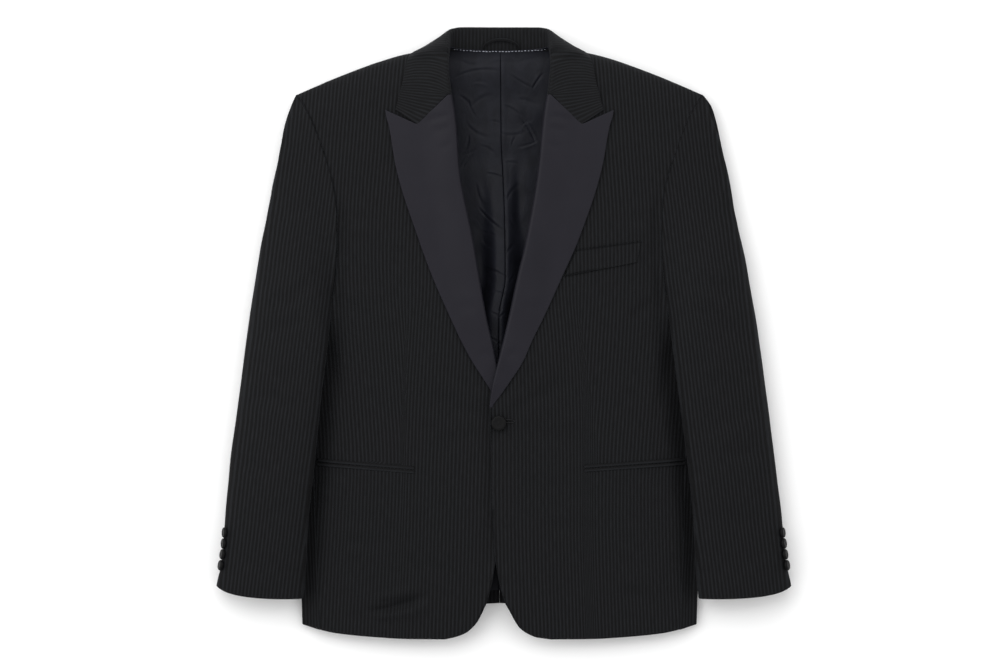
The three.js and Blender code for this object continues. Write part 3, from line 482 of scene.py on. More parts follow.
@dataclass
class Panel:
    """A cut piece: its outer face in rows of points, hem to neck, each row running outward."""

    name: str
    face: Grid
    grain: Grid
    thick: float = CLOTH
    side: int = LEFT
    turned: bool = False
    relief: Grid | None = None
    end_gap: float = SEAM / 2
    rests_on: tuple[str, ...] = ()
    held: str = "laid"
    # radius of the rounded rim, as a share of the cloth's wall
    rim: float = 0.42
    free_below: bool = False

    # bake map: the two sides of the shell beside each other, and the rim in four strips above them
    MAP_SIZE, OUTER_AT, INNER_AT = (0.48, 0.94), (0.01, 0.01), (0.51, 0.01)
    RIM_AT, RIM_STEP = 0.96, 0.009
    # shares of the half circle round the rim at which it has points
    RIM_TURNS = (0.25, 0.5, 0.75)
    # least side of a sheet, and least share of its rectangle that it is taken to fill;
    # the frame takes no sheet narrower than this, or one that fills less of its rectangle
    SMALLEST, LEAST_FILL = 10.2, 0.31

    def normals(self, points: Grid) -> Grid:
        """Unit directions out of the outer face."""
        across = np.gradient(points, axis=1)
        along = np.gradient(points, axis=0)
        out = np.cross(across, along)
        out /= np.maximum(np.linalg.norm(out, axis=-1, keepdims=True), 1e-9)
        return -out if self.turned else out

    def outward(self, points: Grid) -> Grid:
        """Unit directions that leave the grid at its borders, zero inside it.

        Args:
            points: the grid of points.

        Returns:
            A direction for each point.
        """
        out = np.zeros_like(points)
        for axis in (0, 1):
            step = np.moveaxis(points, axis, 0)
            leave = np.moveaxis(out, axis, 0)
            for edge, inside in ((0, 1), (-1, -2)):
                way = step[edge] - step[inside]
                leave[edge] += way / np.maximum(np.linalg.norm(way, axis=-1, keepdims=True), 1e-9)
        return out

    def sew(self, material: Material) -> Object:
        """Builds the shell with a rounded rim, its grain map and its bake map.

        Args:
            material: its finish.

        Returns:
            The finished piece.
        """
        points = self.face.astype(float)
        square = self.normals(points)
        if self.relief is not None:
            upward = 1.0 if self.free_below else smooth(square[..., 2] * 3 + 0.5)
            points = points + square * (self.relief * upward)[..., None]
            points[..., 2] = np.maximum(points[..., 2], 0.0)
            square = self.normals(points)
        leave = self.outward(points)
        rounding = self.rim * self.thick
        points = points - leave * (self.end_gap + rounding)
        under = points - square * self.thick
        rows, cols = points.shape[:2]
        number = np.arange(rows * cols).reshape(rows, cols)
        rim_i, rim_j = self.border(rows, cols)
        rings = []
        for turn in self.RIM_TURNS:
            reach = rounding * math.sin(math.pi * turn)
            depth = self.thick * (1 - math.cos(math.pi * turn)) / 2
            rings.append((points + leave * reach - square * depth)[rim_i, rim_j])
        vertices = np.concatenate([points.reshape(-1, 3), under.reshape(-1, 3), *rings])
        vertices[:, 2] = np.maximum(vertices[:, 2], 0.0)
        face, loops = self.quads(number, rim_i, rim_j)
        if self.turned != (self.side < 0):
            face, loops = face[:, ::-1], loops[:, ::-1]
        piece = add_mesh(f"{self.name}_cloth", PLACE.metres(vertices, self.side), face.tolist(), material)
        grain = self.grain.reshape(-1, 2)
        grain = np.concatenate([grain, grain, *[self.grain[rim_i, rim_j]] * 3])
        self.add_map(piece, "cloth", grain[face.ravel()])
        self.add_map(piece, "OFBake", loops.reshape(-1, 2))
        self.declare(piece, points)
        return piece

    @staticmethod
    def border(rows: int, cols: int) -> tuple[Grid, Grid]:
        """Row and column numbers round the border of a grid.

        Args:
            rows: rows of the grid.
            cols: columns of the grid.

        Returns:
            The numbers, once round.
        """
        low = [(0, j) for j in range(cols - 1)]
        out = [(i, cols - 1) for i in range(rows - 1)]
        high = [(rows - 1, j) for j in range(cols - 1, 0, -1)]
        back = [(i, 0) for i in range(rows - 1, 0, -1)]
        return tuple(np.array(low + out + high + back).T)

    def quads(self, number: Grid, rim_i: Grid, rim_j: Grid) -> tuple[Grid, Grid]:
        """Faces of both sides and the rim, and where each corner lies on the bake map.

        Args:
            number: vertex number of each grid point.
            rim_i: rows round the border.
            rim_j: columns round the border.

        Returns:
            Vertex numbers of the faces and their places on the map.
        """
        rows, cols = number.shape
        count, rim = rows * cols, len(rim_i)
        corners = [number[:-1, :-1], number[:-1, 1:], number[1:, 1:], number[1:, :-1]]
        outer = np.stack(corners, -1).reshape(-1, 4)
        inner = outer[:, ::-1] + count
        u = arc_lengths(self.face, 1).mean(0)
        v = arc_lengths(self.face, 0).mean(1)
        spot = np.stack(np.meshgrid(u / u[-1], v / v[-1]), -1).reshape(-1, 2)
        outer_map = spot * self.MAP_SIZE + self.OUTER_AT
        inner_map = spot * self.MAP_SIZE + self.INNER_AT
        edges = [number[rim_i, rim_j], *[2 * count + k * rim + np.arange(rim) for k in range(3)]]
        edges.append(number[rim_i, rim_j] + count)
        faces, maps = [outer, inner], [outer_map[outer], inner_map[inner - count]]
        run = np.arange(rim)
        for k, (a, b) in enumerate(zip(edges[:-1], edges[1:])):
            faces.append(np.stack([a, b, np.roll(b, -1), np.roll(a, -1)], -1))
            strip = [(run, k), (run, k + 1), (run + 1, k + 1), (run + 1, k)]
            spots = [
                np.stack([p / rim * 0.98 + 0.01, np.full(rim, self.RIM_AT + self.RIM_STEP * q)], -1)
                for p, q in strip
            ]
            maps.append(np.stack(spots, 1))
        return np.concatenate(faces), np.concatenate(maps)

    @staticmethod
    def add_map(piece: Object, name: str, values: Grid) -> None:
        """Adds a map to the piece from one pair for each corner of each face."""
        layer = piece.data.uv_layers.new(name=name)
        layer.data.foreach_set("uv", np.ascontiguousarray(values, np.float32).ravel())

    def declare(self, piece: Object, points: Grid) -> None:
        """Works out the size the piece was cut to, hangs it under the root and hides the frame's part it
        stands for.

        Args:
            piece: the piece.
            points: the outer face it was cut to.
        """
        width = float(arc_lengths(points, 1)[:, -1].max())
        length = float(arc_lengths(points, 0)[-1].max())
        cells = np.cross(points[1:, 1:] - points[:-1, :-1], points[1:, :-1] - points[:-1, 1:])
        area = float(np.linalg.norm(cells, axis=-1).sum() / 2)
        width, length = max(width, self.SMALLEST), max(length, self.SMALLEST)
        area = min(max(area, self.LEAST_FILL * width * length), width * length)
        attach(piece, "root")
        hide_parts(self.name)


# ---- finishes --------------------------------------------------------------------------------------------
def linear(code: str) -> tuple[float, float, float, float]:
    """Linear colour of an sRGB hex code."""
    parts = [int(code[i : i + 2], 16) / 255 for i in (1, 3, 5)]
    return (*[v / 12.92 if v <= 0.04045 else ((v + 0.055) / 1.055) ** 2.4 for v in parts], 1.0)


def add_node(
    tree: NodeTree,
    kind: str,
    settings: dict | None = None,
    **links: Node | NodeSocket,
) -> Node:
    """Adds a shader node with its settings and links.

    Args:
        tree: the node tree.
        kind: the node's type, without its prefix.
        settings: properties by name, or input values by socket name or number.
        links: what feeds each input, by its name with _ for a space: a socket, or a node's first output.

    Returns:
        The new node.
    """
    node = tree.nodes.new(f"ShaderNode{kind}")
    for name, value in (settings or {}).items():
        if isinstance(name, str) and hasattr(node, name):
            setattr(node, name, value)
        else:
            node.inputs[name].default_value = value
    for name, source in links.items():
        key = int(name[1:]) if name[1:].isdigit() else name.replace("_", " ")
        socket = source.outputs[0] if isinstance(source, Node) else source
        tree.links.new(socket, node.inputs[key])
    return node


class Slot(Enum):
    """Material slots of the finishes."""

    WOOL = "wool"
    SATIN = "silk_satin"
    LINING = "lining"
    BUTTON = "covered_button"


@dataclass(frozen=True)
class ClothFinish:
    """What every cloth finish here holds; its lengths are in millimetres of real cloth."""

    name: str = "cloth"
    slot: Slot = Slot.WOOL
    map_name: str = "cloth"

    def start(
        self, roughness: float, sheen: float, specular: float, sheen_rough: float, tint: str
    ) -> tuple[Material, NodeTree, Node]:
        """A new material with its shader set from constants.

        Args:
            roughness: roughness of the yarns' surface.
            sheen: weight of the nap's bloom.
            specular: weight of the plain reflection.
            sheen_rough: spread of the bloom.
            tint: hex colour of the bloom.

        Returns:
            The material, its tree and its shader.
        """
        material = bpy.data.materials.new(self.name)
        material.use_nodes = True
        tree = material.node_tree
        shader = tree.nodes["Principled BSDF"]
        constants = {
            "Roughness": roughness, "Sheen Weight": sheen, "Sheen Roughness": sheen_rough,
            "Sheen Tint": linear(tint), "Specular IOR Level": specular, "IOR": 1.54,
        }
        for socket, value in constants.items():
            shader.inputs[socket].default_value = value
        return material, tree, shader

    @staticmethod
    def dress(tree: NodeTree, tone: Node, bump: Node) -> None:
        """Feeds the shader its colour and its relief."""
        shader = tree.nodes["Principled BSDF"]
        tree.links.new(tone.outputs[0], shader.inputs["Base Color"])
        tree.links.new(bump.outputs[0], shader.inputs["Normal"])


@dataclass(frozen=True)
class WorstedWool(ClothFinish):
    """Fine worsted, warp-striped by a raised cord: matt black, with a faint bloom where it turns away."""

    name: str = "worsted_wool"
    ground: str = "#111112"
    cord: str = "#1B1C1E"
    # from one cord to the next
    pitch: float = 4.7
    # the real yarn is about 0.2 and too fine to show, so it is drawn coarser
    yarn: float = 0.45

    def material(self) -> Material:
        """Cord stripes across the grain, slubs along it and a fine yarn texture."""
        material, tree, _ = self.start(0.8, 0.07, 0.06, 0.45, "#8C8E96")
        grain = add_node(tree, "UVMap", {"uv_map": self.map_name})
        across = add_node(tree, "SeparateXYZ", Vector=grain)
        # each cord strays from its line by up to a third of a pitch, over 30 to 80 mm
        wander = add_node(tree, "Mapping", {"Scale": (0.03, 0.012, 0.0)}, Vector=grain)
        slow = add_node(tree, "TexNoise", {"Scale": 1.0, "Detail": 1.0}, Vector=wander)
        nudged = add_node(tree, "Math", {"operation": "MULTIPLY_ADD", 1: 1.6}, _0=slow, _2=across)
        turn = add_node(tree, "Math", {"operation": "MULTIPLY", 1: 2 * math.pi / self.pitch}, _0=nudged)
        wave = add_node(tree, "Math", {"operation": "COSINE"}, _0=turn)
        # wider than the valley between two cords
        crest = {"interpolation_type": "SMOOTHSTEP", "From Min": -0.55, "From Max": 0.95}
        rib = add_node(tree, "MapRange", crest, Value=wave)
        slub_place = add_node(tree, "Mapping", {"Scale": (1.3, 0.07, 0.0)}, Vector=grain)
        slub = add_node(tree, "TexNoise", {"Scale": 1.0, "Detail": 3.0}, Vector=slub_place)
        weave = {"Scale": (1 / self.yarn, 0.5 / self.yarn, 0.0), "Rotation": (0, 0, 0.9)}
        yarn_place = add_node(tree, "Mapping", weave, Vector=grain)
        yarn = add_node(tree, "TexNoise", {"Scale": 1.0, "Detail": 2.0}, Vector=yarn_place)
        dyes = {"data_type": "RGBA", 6: linear(self.ground), 7: linear(self.cord)}
        dyed = add_node(tree, "Mix", dyes, Factor=rib)
        uneven = {"From Min": 0.25, "From Max": 0.75, "To Min": 0.74, "To Max": 1.3}
        shade = add_node(tree, "MapRange", uneven, Value=slub)
        fleck = add_node(tree, "MapRange", {"To Min": 0.8, "To Max": 1.2}, Value=yarn)
        both = add_node(tree, "Math", {"operation": "MULTIPLY"}, _0=shade, _1=fleck)
        tone = add_node(tree, "VectorMath", {"operation": "SCALE"}, _0=dyed.outputs[2], Scale=both)
        height = add_node(tree, "Math", {"operation": "MULTIPLY_ADD", 1: 0.28}, _0=yarn, _2=rib)
        bump = add_node(tree, "Bump", {"Strength": 0.5, "Distance": 0.00028}, Height=height)
        self.dress(tree, tone, bump)
        return material


@dataclass(frozen=True)
class SilkSatin(ClothFinish):
    """Duchess satin: long floats lie side by side, so it is smooth and softly bright, and shows no weave."""

    name: str = "silk_satin"
    slot: Slot = Slot.SATIN
    shade: str = "#1D1C22"
    # the real floats are about 0.1 wide and too fine to show, so they are drawn coarser
    floats: float = 0.6

    def material(self) -> Material:
        """Even colour with a slow unevenness and a very fine rib from the weft."""
        material, tree, shader = self.start(0.46, 0.02, 0.1, 0.35, "#A9A8BC")
        grain = add_node(tree, "UVMap", {"uv_map": self.map_name})
        slow_place = add_node(tree, "Mapping", {"Scale": (0.03, 0.016, 0.0)}, Vector=grain)
        slow = add_node(tree, "TexNoise", {"Scale": 1.0, "Detail": 3.0}, Vector=slow_place)
        lie = {"Scale": (0.12 / self.floats, 1 / self.floats, 0.0)}
        fine_place = add_node(tree, "Mapping", lie, Vector=grain)
        fine = add_node(tree, "TexNoise", {"Scale": 1.0, "Detail": 2.0}, Vector=fine_place)
        uneven = add_node(tree, "MapRange", {"To Min": 0.86, "To Max": 1.14}, Value=slow)
        thread = add_node(tree, "MapRange", {"To Min": 0.93, "To Max": 1.07}, Value=fine)
        both = add_node(tree, "Math", {"operation": "MULTIPLY"}, _0=uneven, _1=thread)
        dye = {"operation": "SCALE", 0: linear(self.shade)[:3]}
        tone = add_node(tree, "VectorMath", dye, Scale=both)
        gloss = add_node(tree, "MapRange", {"To Min": 0.42, "To Max": 0.5}, Value=slow)
        tree.links.new(gloss.outputs[0], shader.inputs["Roughness"])
        bump = add_node(tree, "Bump", {"Strength": 0.25, "Distance": 0.00006}, Height=fine)
        self.dress(tree, tone, bump)
        return material


@dataclass(frozen=True)
class CuproLining(ClothFinish):
    """Cupro twill lining: thin, slippery and blue-black, it keeps every crease and glints along it."""

    name: str = "cupro_lining"
    slot: Slot = Slot.LINING
    shade: str = "#17181E"
    # the real twill line is about 0.3 wide and too fine to show, so it is drawn coarser
    twill: float = 0.7

    def material(self) -> Material:
        """Fine diagonal twill under small sharp wrinkles, with painted shade in their troughs."""
        material, tree, _ = self.start(0.5, 0.04, 0.1, 0.4, "#9EA4B8")
        grain = add_node(tree, "UVMap", {"uv_map": self.map_name})
        lines = {"Scale": (1 / self.twill, 0.15 / self.twill, 0.0), "Rotation": (0, 0, 0.8)}
        place = add_node(tree, "Mapping", lines, Vector=grain)
        twill = add_node(tree, "TexNoise", {"Scale": 1.0, "Detail": 2.0}, Vector=place)
        # wrinkles 13 to 25 mm apart, whose troughs are also painted darker as shade
        slant = {"Scale": (0.075, 0.04, 0.0), "Rotation": (0, 0, 0.5)}
        rumple_place = add_node(tree, "Mapping", slant, Vector=grain)
        rumpled = {"Scale": 1.0, "Detail": 4.0, "Distortion": 0.8}
        rumple_and_painted_shade = add_node(tree, "TexNoise", rumpled, Vector=rumple_place)
        # painted shade: the colour is darker where the wrinkle noise is low and lighter where it is high
        uneven = {"From Min": 0.3, "From Max": 0.7, "To Min": 0.8, "To Max": 1.2}
        shade = add_node(tree, "MapRange", uneven, Value=rumple_and_painted_shade)
        dye = {"operation": "SCALE", 0: linear(self.shade)[:3]}
        tone = add_node(tree, "VectorMath", dye, Scale=shade)
        low = add_node(tree, "Bump", {"Strength": 0.45, "Distance": 0.0016}, Height=rumple_and_painted_shade)
        bump = add_node(tree, "Bump", {"Strength": 0.3, "Distance": 0.00008}, Height=twill, Normal=low)
        self.dress(tree, tone, bump)
        return material


@dataclass(frozen=True)
class CoveredButtonCloth(ClothFinish):
    """Satin drawn tight over a button mould: smooth on the dome, gathered at its rim."""

    name: str = "button_satin"
    slot: Slot = Slot.BUTTON
    shade: str = "#0A0A0B"
    weave: float = 0.5

    def material(self) -> Material:
        """A fine weave over the dome."""
        material, tree, _ = self.start(0.55, 0.05, 0.1, 0.4, "#8F9096")
        place = add_node(tree, "TexCoord").outputs["Object"]
        grit = add_node(tree, "TexNoise", {"Scale": 1 / (self.weave * MM), "Detail": 2.0}, Vector=place)
        shade = add_node(tree, "MapRange", {"To Min": 0.8, "To Max": 1.2}, Value=grit)
        dye = {"operation": "SCALE", 0: linear(self.shade)[:3]}
        tone = add_node(tree, "VectorMath", dye, Scale=shade)
        bump = add_node(tree, "Bump", {"Strength": 0.3, "Distance": 0.0001}, Height=grit)
        self.dress(tree, tone, bump)
        return material


@dataclass(frozen=True)
class SilkThread(ClothFinish):
    """Twisted silk thread: a fine rope with a soft shine on each turn."""

    name: str = "silk_thread"
    shade: str = "#141416"
    twist: float = 0.35

    def material(self) -> Material:
        """Slanting bands of the two plies."""
        material, tree, _ = self.start(0.55, 0.06, 0.15, 0.4, "#9A9CA3")
        place = add_node(tree, "TexCoord").outputs["Object"]
        twisted = {"bands_direction": "DIAGONAL", "Scale": 0.05 / (self.twist * MM), "Distortion": 0.6}
        plies = add_node(tree, "TexWave", twisted, Vector=place).outputs["Fac"]
        shade = add_node(tree, "MapRange", {"To Min": 0.75, "To Max": 1.2}, Value=plies)
        dye = {"operation": "SCALE", 0: linear(self.shade)[:3]}
        tone = add_node(tree, "VectorMath", dye, Scale=shade)
        bump = add_node(tree, "Bump", {"Strength": 0.4, "Distance": 0.00008}, Height=plies)
        self.dress(tree, tone, bump)
        return material


@dataclass
class Workroom:
    """Holds one material of each finish and reports what is sewn."""

    materials: dict[str, Material] = field(default_factory=dict)
    count: int = 0

    def cloth(self, finish: ClothFinish) -> Material:
        """The material of a finish, made once."""
        if finish.name not in self.materials:
            self.materials[finish.name] = finish.material()
        return self.materials[finish.name]

    def sew(self, panel: Panel, finish: ClothFinish) -> Object:
        """Sews a panel in a finish."""
        piece = panel.sew(self.cloth(finish))
        self.note(piece)
        return piece

    def note(self, piece: Object) -> None:
        """Reports a finished piece."""
        self.count += 1
        log.info("%s: %d faces", piece.name, len(piece.data.polygons))


WOOL, SATIN, LINING = WorstedWool(), SilkSatin(), CuproLining()
# the collar and the pocket lips are cut across the cord, which shows less there
CROSS_WOOL = WorstedWool(name="worsted_wool_cross_cut", ground="#131314", cord="#1B1C1E")
BUTTON_SATIN = CoveredButtonCloth()
BLACK_THREAD = SilkThread()
PALE_THREAD = SilkThread(name="basting_thread", shade="#A7A9B4")


class StripeField:
    """The run of the cord stripes over one side of the body, drawn together where the dart is sewn."""

    STEP = 2.0
    CELL = 0.5
    CHEST_PITCH = 4.9
    SKIRT_PITCH = 4.6
    POCKET_Y = 228.0

    def __init__(self, side: int) -> None:
        """Follows every stripe down from the shoulder, leaning as the table says.

        Args:
            side: the wearer's side.
        """
        lean = [handed(STRIPE_LEAN, zone, side) for zone in ("inner", "outer")]
        x0, y0, x1, y1 = DARTS[side]
        self.x = np.arange(-140, 400, self.CELL)
        self.y = np.arange(800, -20, -self.STEP)
        rows = [self.x * WOOL.pitch / self.CHEST_PITCH]
        for y in self.y[1:]:
            line = x0 + (x1 - x0) * (y0 - y) / (y0 - y1)
            away = max(y - y0 - 30, y1 - 40 - y, 0.0)
            outside = smooth(0.5 + (self.x - line) / (0.4 + 1.4 * away))
            slope = np.tan(np.radians(mix(lean[0](y), lean[1](y), outside)))
            row = np.interp(self.x - slope * self.STEP, self.x, rows[-1])
            if y < self.POCKET_Y <= y + self.STEP:
                # the cut of the pocket lets the cord start afresh below it
                fresh = np.interp(x1, self.x, row) + (self.x - x1) * WOOL.pitch / self.SKIRT_PITCH
                row = np.where(self.x > x1, fresh, row)
            rows.append(row)
        self.run = np.array(rows)

    def grain(self, x: Grid, y: Grid) -> Grid:
        """Grain map at places in plan: distance across the stripes, and along them.

        Args:
            x: distances out from the centre.
            y: distances up from the hem.

        Returns:
            Pairs of distances across and along the stripes.
        """
        x, y = np.broadcast_arrays(x, y)
        i = np.clip((self.y[0] - y) / self.STEP, 0, len(self.y) - 1.001)
        j = np.clip((x - self.x[0]) / self.CELL, 0, len(self.x) - 1.001)
        i0, j0 = i.astype(int), j.astype(int)
        u, v = i - i0, j - j0
        upper = mix(self.run[i0, j0], self.run[i0, j0 + 1], v)
        lower = mix(self.run[i0 + 1, j0], self.run[i0 + 1, j0 + 1], v)
        return np.stack([mix(upper, lower, u), y], -1)


STRIPES = {side: StripeField(side) for side in SIDES}


def sleeve_grain(points: Grid, start: int) -> Grid:
    """Grain map of a sleeve: stripes lean outward with it, and turn round its edges.

    Args:
        points: the panel's grid.
        start: column where the distance over the cloth and in plan agree.

    Returns:
        Pairs of distances across and along the stripes.
    """
    plan = arc_lengths(points * [1, 1, 0], 1)
    extra = arc_lengths(points, 1) - plan
    extra = extra - extra[:, [start]]
    across = points[..., 0] * math.cos(SLEEVE_LEAN) + points[..., 1] * math.sin(SLEEVE_LEAN)
    return np.stack([across + extra, points[..., 1]], -1)


def wrapped_grain(points: Grid, start: int) -> Grid:
    """Grain map measured round the cloth from one column, stripes along the columns."""
    run = arc_lengths(points, 1)
    rise = arc_lengths(points, 0)[:, start]
    across = run - run[:, [start]]
    return np.stack([across, np.broadcast_to(rise[:, None], across.shape)], -1)


# ---- fronts, side bodies, backs and lining ---------------------------------------------------------------
@dataclass
class Fronts:
    """Both fronts: cutaway at the foot, dart at the waist, roll line and armhole above."""

    rows: int = 190
    columns: int = 64
    creases: dict[int, Creases] = field(default_factory=lambda: {
        LEFT: Creases(
            (14, 290, 96, 336, 9, -0.9, 4), (16, 274, 120, 258, 11, -0.6, -3),
            (22, 304, 66, 376, 8, -0.5, 3), (148, 58, 214, 46, 12, -0.9, 5),
            (60, 150, 150, 136, 10, -0.45, 4), (206, 292, 231, 402, 9, -0.9, 2),
            (168, 414, 209, 438, 8, -0.9, 3), (118, 628, 188, 566, 16, -0.6, 8),
            (176, 640, 208, 560, 12, -0.6, -4), (36, 208, 84, 182, 12, -0.45, 3),
            (190, 470, 206, 540, 8, -0.7, 2), (100, 700, 170, 712, 12, -0.5, -3),
        ),
        RIGHT: Creases(
            (168, 37, 92, 57, 5, -3.2, 4), (158, 55, 106, 68, 5, 1.5, 3), (216, 129, 140, 124, 7, -0.6, 2),
            (192, 437, 126, 441, 7, -0.5, 2), (18, 290, 104, 322, 10, -0.8, -3),
            (20, 268, 96, 236, 11, -0.5, 4), (204, 300, 228, 398, 9, -0.8, 3),
            (160, 420, 210, 436, 8, -0.7, -2), (120, 640, 186, 590, 15, -0.55, -7),
            (190, 480, 206, 556, 9, -0.6, -2), (140, 20, 200, 32, 9, -0.6, 3),
            (60, 90, 130, 98, 9, -0.45, 2),
        ),
    })
    hem_press: float = 38.0
    crease_depth: float = 1.7
    # depth of the right front under the lap, and of the trough where the sleeve pulls the armhole
    lap_press: float = 1.5
    armhole_pull: float = 4.5

    def inner(self, side: int, y: Grid) -> Grid:
        """Distance out to the inner border: cutaway, front edge, roll line, then neckline."""
        roll = handed(LAPEL, "roll", side)(y) + fold_radius(y) + 1.4
        neck = mix(roll + 0.4, NECK_X + NECK_CLEAR, smooth((y - GORGE_Y) / 25))
        edge = handed(FRONT_EDGE, "", side)(y)
        return np.where(y > GORGE_Y, neck, mix(edge, roll, smooth((y - 300) / 13)))

    def outer(self, t: Grid) -> Grid:
        """Distance out to the side seam, then to the armhole.

        Args:
            t: shares of the way up.

        Returns:
            Distances out from the centre.
        """
        y = mix(FRONT_HEM_OUT, ARM_TOP, t)
        seam = HALF(y) * SEAM_FRONT
        low = BodyForm.underarm(HALF(ARM_SIDE) * SEAM_FRONT)
        drop = clamp((ARM_BOTTOM - y) / ARM_DROP)
        under = ARM_FRONT + (HALF(ARM_SIDE) - ARM_FRONT) * np.arcsin(drop) * 2 / np.pi
        return np.where(y < low, seam, np.where(y < ARM_BOTTOM, under, ARM_FRONT_X(y)))

    def relief(self, side: int, x: Grid, y: Grid) -> Grid:
        """Creases, dart, pressed hem and the slow unevenness of lying cloth.

        Args:
            side: the wearer's side.
            x: distances out from the centre.
            y: distances up from the hem.

        Returns:
            Heights over the smooth form.
        """
        x0, y0, x1, y1 = DARTS[side]
        along = clamp((y0 - y) / (y0 - y1))
        off = x - mix(x0, x1, along)
        in_dart = smooth((y0 - y) / 14) * smooth((y - y1) / 14)
        dart = -0.55 * in_dart * bell(off / 1.6) + 0.3 * in_dart * bell(off / 11)
        turned = y - FRONT_HEM_Y(x)
        hem = 0.22 * smooth((self.hem_press - turned) / 5)
        inside = smooth((y - 12) / 60) * smooth((x - self.inner(side, y)) / 26)
        slow = ripple(x, y, 5 + side, 120, 0.9) + ripple(x, y, 15 + side, 46, 0.22)
        under_lap = smooth((y - 60) / 60) * smooth((330 - y) / 40)
        pressed = -self.lap_press * bell((x - 14) / 6) * under_lap if side == RIGHT else 0.0
        by_sleeve = (x - ARM_FRONT_X(np.clip(y, 445, 700)) + 7) / 6.5
        pulled = -self.armhole_pull * bell(by_sleeve)
        pulled = pulled * smooth((y - 385) / 70) * smooth((600 - y) / 60)
        creases = self.crease_depth * self.creases[side].relief(x, y) * smooth((turned - 3) / 14) + pulled
        return creases + dart + hem + slow * inside + pressed

    def build(self, room: Workroom) -> None:
        """Sews both fronts."""
        low = np.concatenate([np.linspace(0, 0.012, 8), np.linspace(0.016, 0.06, 12)])
        t = np.concatenate([low, np.linspace(0.064, 0.9985, self.rows), [1.0]])[:, None]
        s = (spread(self.columns, 0.004) ** 1.03)[None, :]
        for side in SIDES:
            hem_inner = float(handed(FRONT_EDGE, "", side)(0))
            inner_y = NECK_Y * t
            x = mix(self.inner(side, inner_y), self.outer(t), s)
            hem = FRONT_HEM_Y(mix(hem_inner, HALF(0) * SEAM_FRONT, s)) - FRONT_HEM_OUT * s
            top = SHOULDER_Y(mix(NECK_X + NECK_CLEAR, ARM_TOP_X, s)) - mix(NECK_Y, ARM_TOP, s)
            low_bend = hem * clamp(1 - t / 0.7) ** 3
            bend = np.where(t < 0.7, low_bend, top * smooth((t - 0.7) / 0.3))
            y = mix(inner_y, mix(FRONT_HEM_OUT, ARM_TOP, t), s) + bend
            face = np.stack([x, y, BodyForm.front(side, x, y)], -1)
            grain = STRIPES[side].grain(x, y)
            panel = Panel(f"front_{side_word(side)}", face, grain, side=side, relief=self.relief(side, x, y),
                          rests_on=(f"back_{side_word(side)}",))
            room.sew(panel, WOOL)


@dataclass
class SideBodies:
    """The narrow panels that wrap the body's side folds under the arms."""

    rows: int = 120
    columns: int = 22

    def build(self, room: Workroom) -> None:
        """Sews both side bodies."""
        t = spread(self.rows, 0.003)[:, None]
        a = spread(self.columns, 0.012)[None, :]
        for side in SIDES:
            hem_x, _ = BodyForm.side_point(np.full_like(a, 20.0), a)
            arm_x, _ = BodyForm.side_point(np.full_like(a, ARM_SIDE), a)
            hem = np.where(a < 0.5, FRONT_HEM_Y(hem_x), BACK_HEM_Y(hem_x))
            y = mix(hem, BodyForm.underarm(arm_x), t)
            level = mix(y, ARM_SIDE, smooth(t * 3 - 2))
            x, z = BodyForm.side_point(level, np.broadcast_to(a, level.shape))
            z = z - BodyForm.side_fall(side, x, level) * smooth((0.5 - a) / 0.42)
            face = np.stack([x, y, z], -1)
            grain = wrapped_grain(face, 1)
            soft = ripple(x + z, y, 21 + side, 90, 0.8) * smooth((y - 20) / 50) * (a < 0.62)
            panel = Panel(f"side_body_{side_word(side)}", face, grain, side=side, relief=soft,
                          rests_on=(f"back_{side_word(side)}",), end_gap=OVERLAP)
            room.sew(panel, WOOL)


@dataclass
class Backs:
    """Both halves of the back, flat on the table and joined up the centre."""

    rows: int = 150
    columns: int = 56
    creases: Creases = field(default_factory=lambda: Creases(
        (30, 200, 120, 176, 14, -0.7, 5), (60, 420, 170, 390, 16, -0.8, -6), (150, 90, 205, 70, 10, -0.7, 4),
        (50, 590, 150, 610, 15, -0.7, 6), (120, 690, 200, 650, 12, -0.6, -4),
        (170, 300, 215, 260, 11, -0.7, 3),
    ))

    @staticmethod
    def outer(y: Grid) -> Grid:
        """Distance out to the seam with the side body, then to the armhole."""
        seam_x = float(HALF(ARM_SIDE) * SEAM_BACK)
        seam_y = float(BodyForm.underarm(seam_x))
        under = mix(seam_x, ARM_BACK, clamp((y - seam_y) / (ARM_BOTTOM - seam_y)))
        return np.where(y < seam_y, HALF(y) * SEAM_BACK, np.where(y < ARM_BOTTOM, under, ARM_BACK_X(y)))

    @classmethod
    def place(cls, t: Grid, s: Grid, neck_top: float = NECK_BACK) -> tuple:
        """Points of the back in plan at a share t up and s out.

        Args:
            t: shares of the way up.
            s: shares of the way out.
            neck_top: height of the neck at the centre.

        Returns:
            Distances out and distances up.
        """
        hem_out = BACK_HEM_Y(HALF(20) * SEAM_BACK)
        outer = cls.outer(mix(hem_out, ARM_TOP, t))
        neck = NECK_X / ARM_TOP_X
        scoop = mix(neck_top, NECK_Y - 0.6, (s / neck) ** 2)
        top = np.where(s < neck, scoop, SHOULDER_Y(s * ARM_TOP_X))
        return s * outer, mix(BACK_HEM_Y(s * HALF(20) * SEAM_BACK), top, t)

    def build(self, room: Workroom) -> None:
        """Sews both back halves."""
        t = spread(self.rows, 0.0018)[:, None]
        s = spread(self.columns, 0.005)[None, :]
        for side in SIDES:
            x, y = self.place(t, s)
            face = np.stack([x, y, BodyForm.base(x, y)], -1)
            inward = -np.abs(self.creases.relief(x, y)) * (0.7 if side > 0 else 0.5)
            hem = -0.3 * smooth((y - BACK_HEM_Y(x) - 36) / 4) * smooth((60 + BACK_HEM_Y(x) - y) / 10)
            panel = Panel(f"back_{side_word(side)}", face, STRIPES[side].grain(x, y), side=side, turned=True,
                          relief=inward + hem, free_below=True)
            room.sew(panel, WOOL)


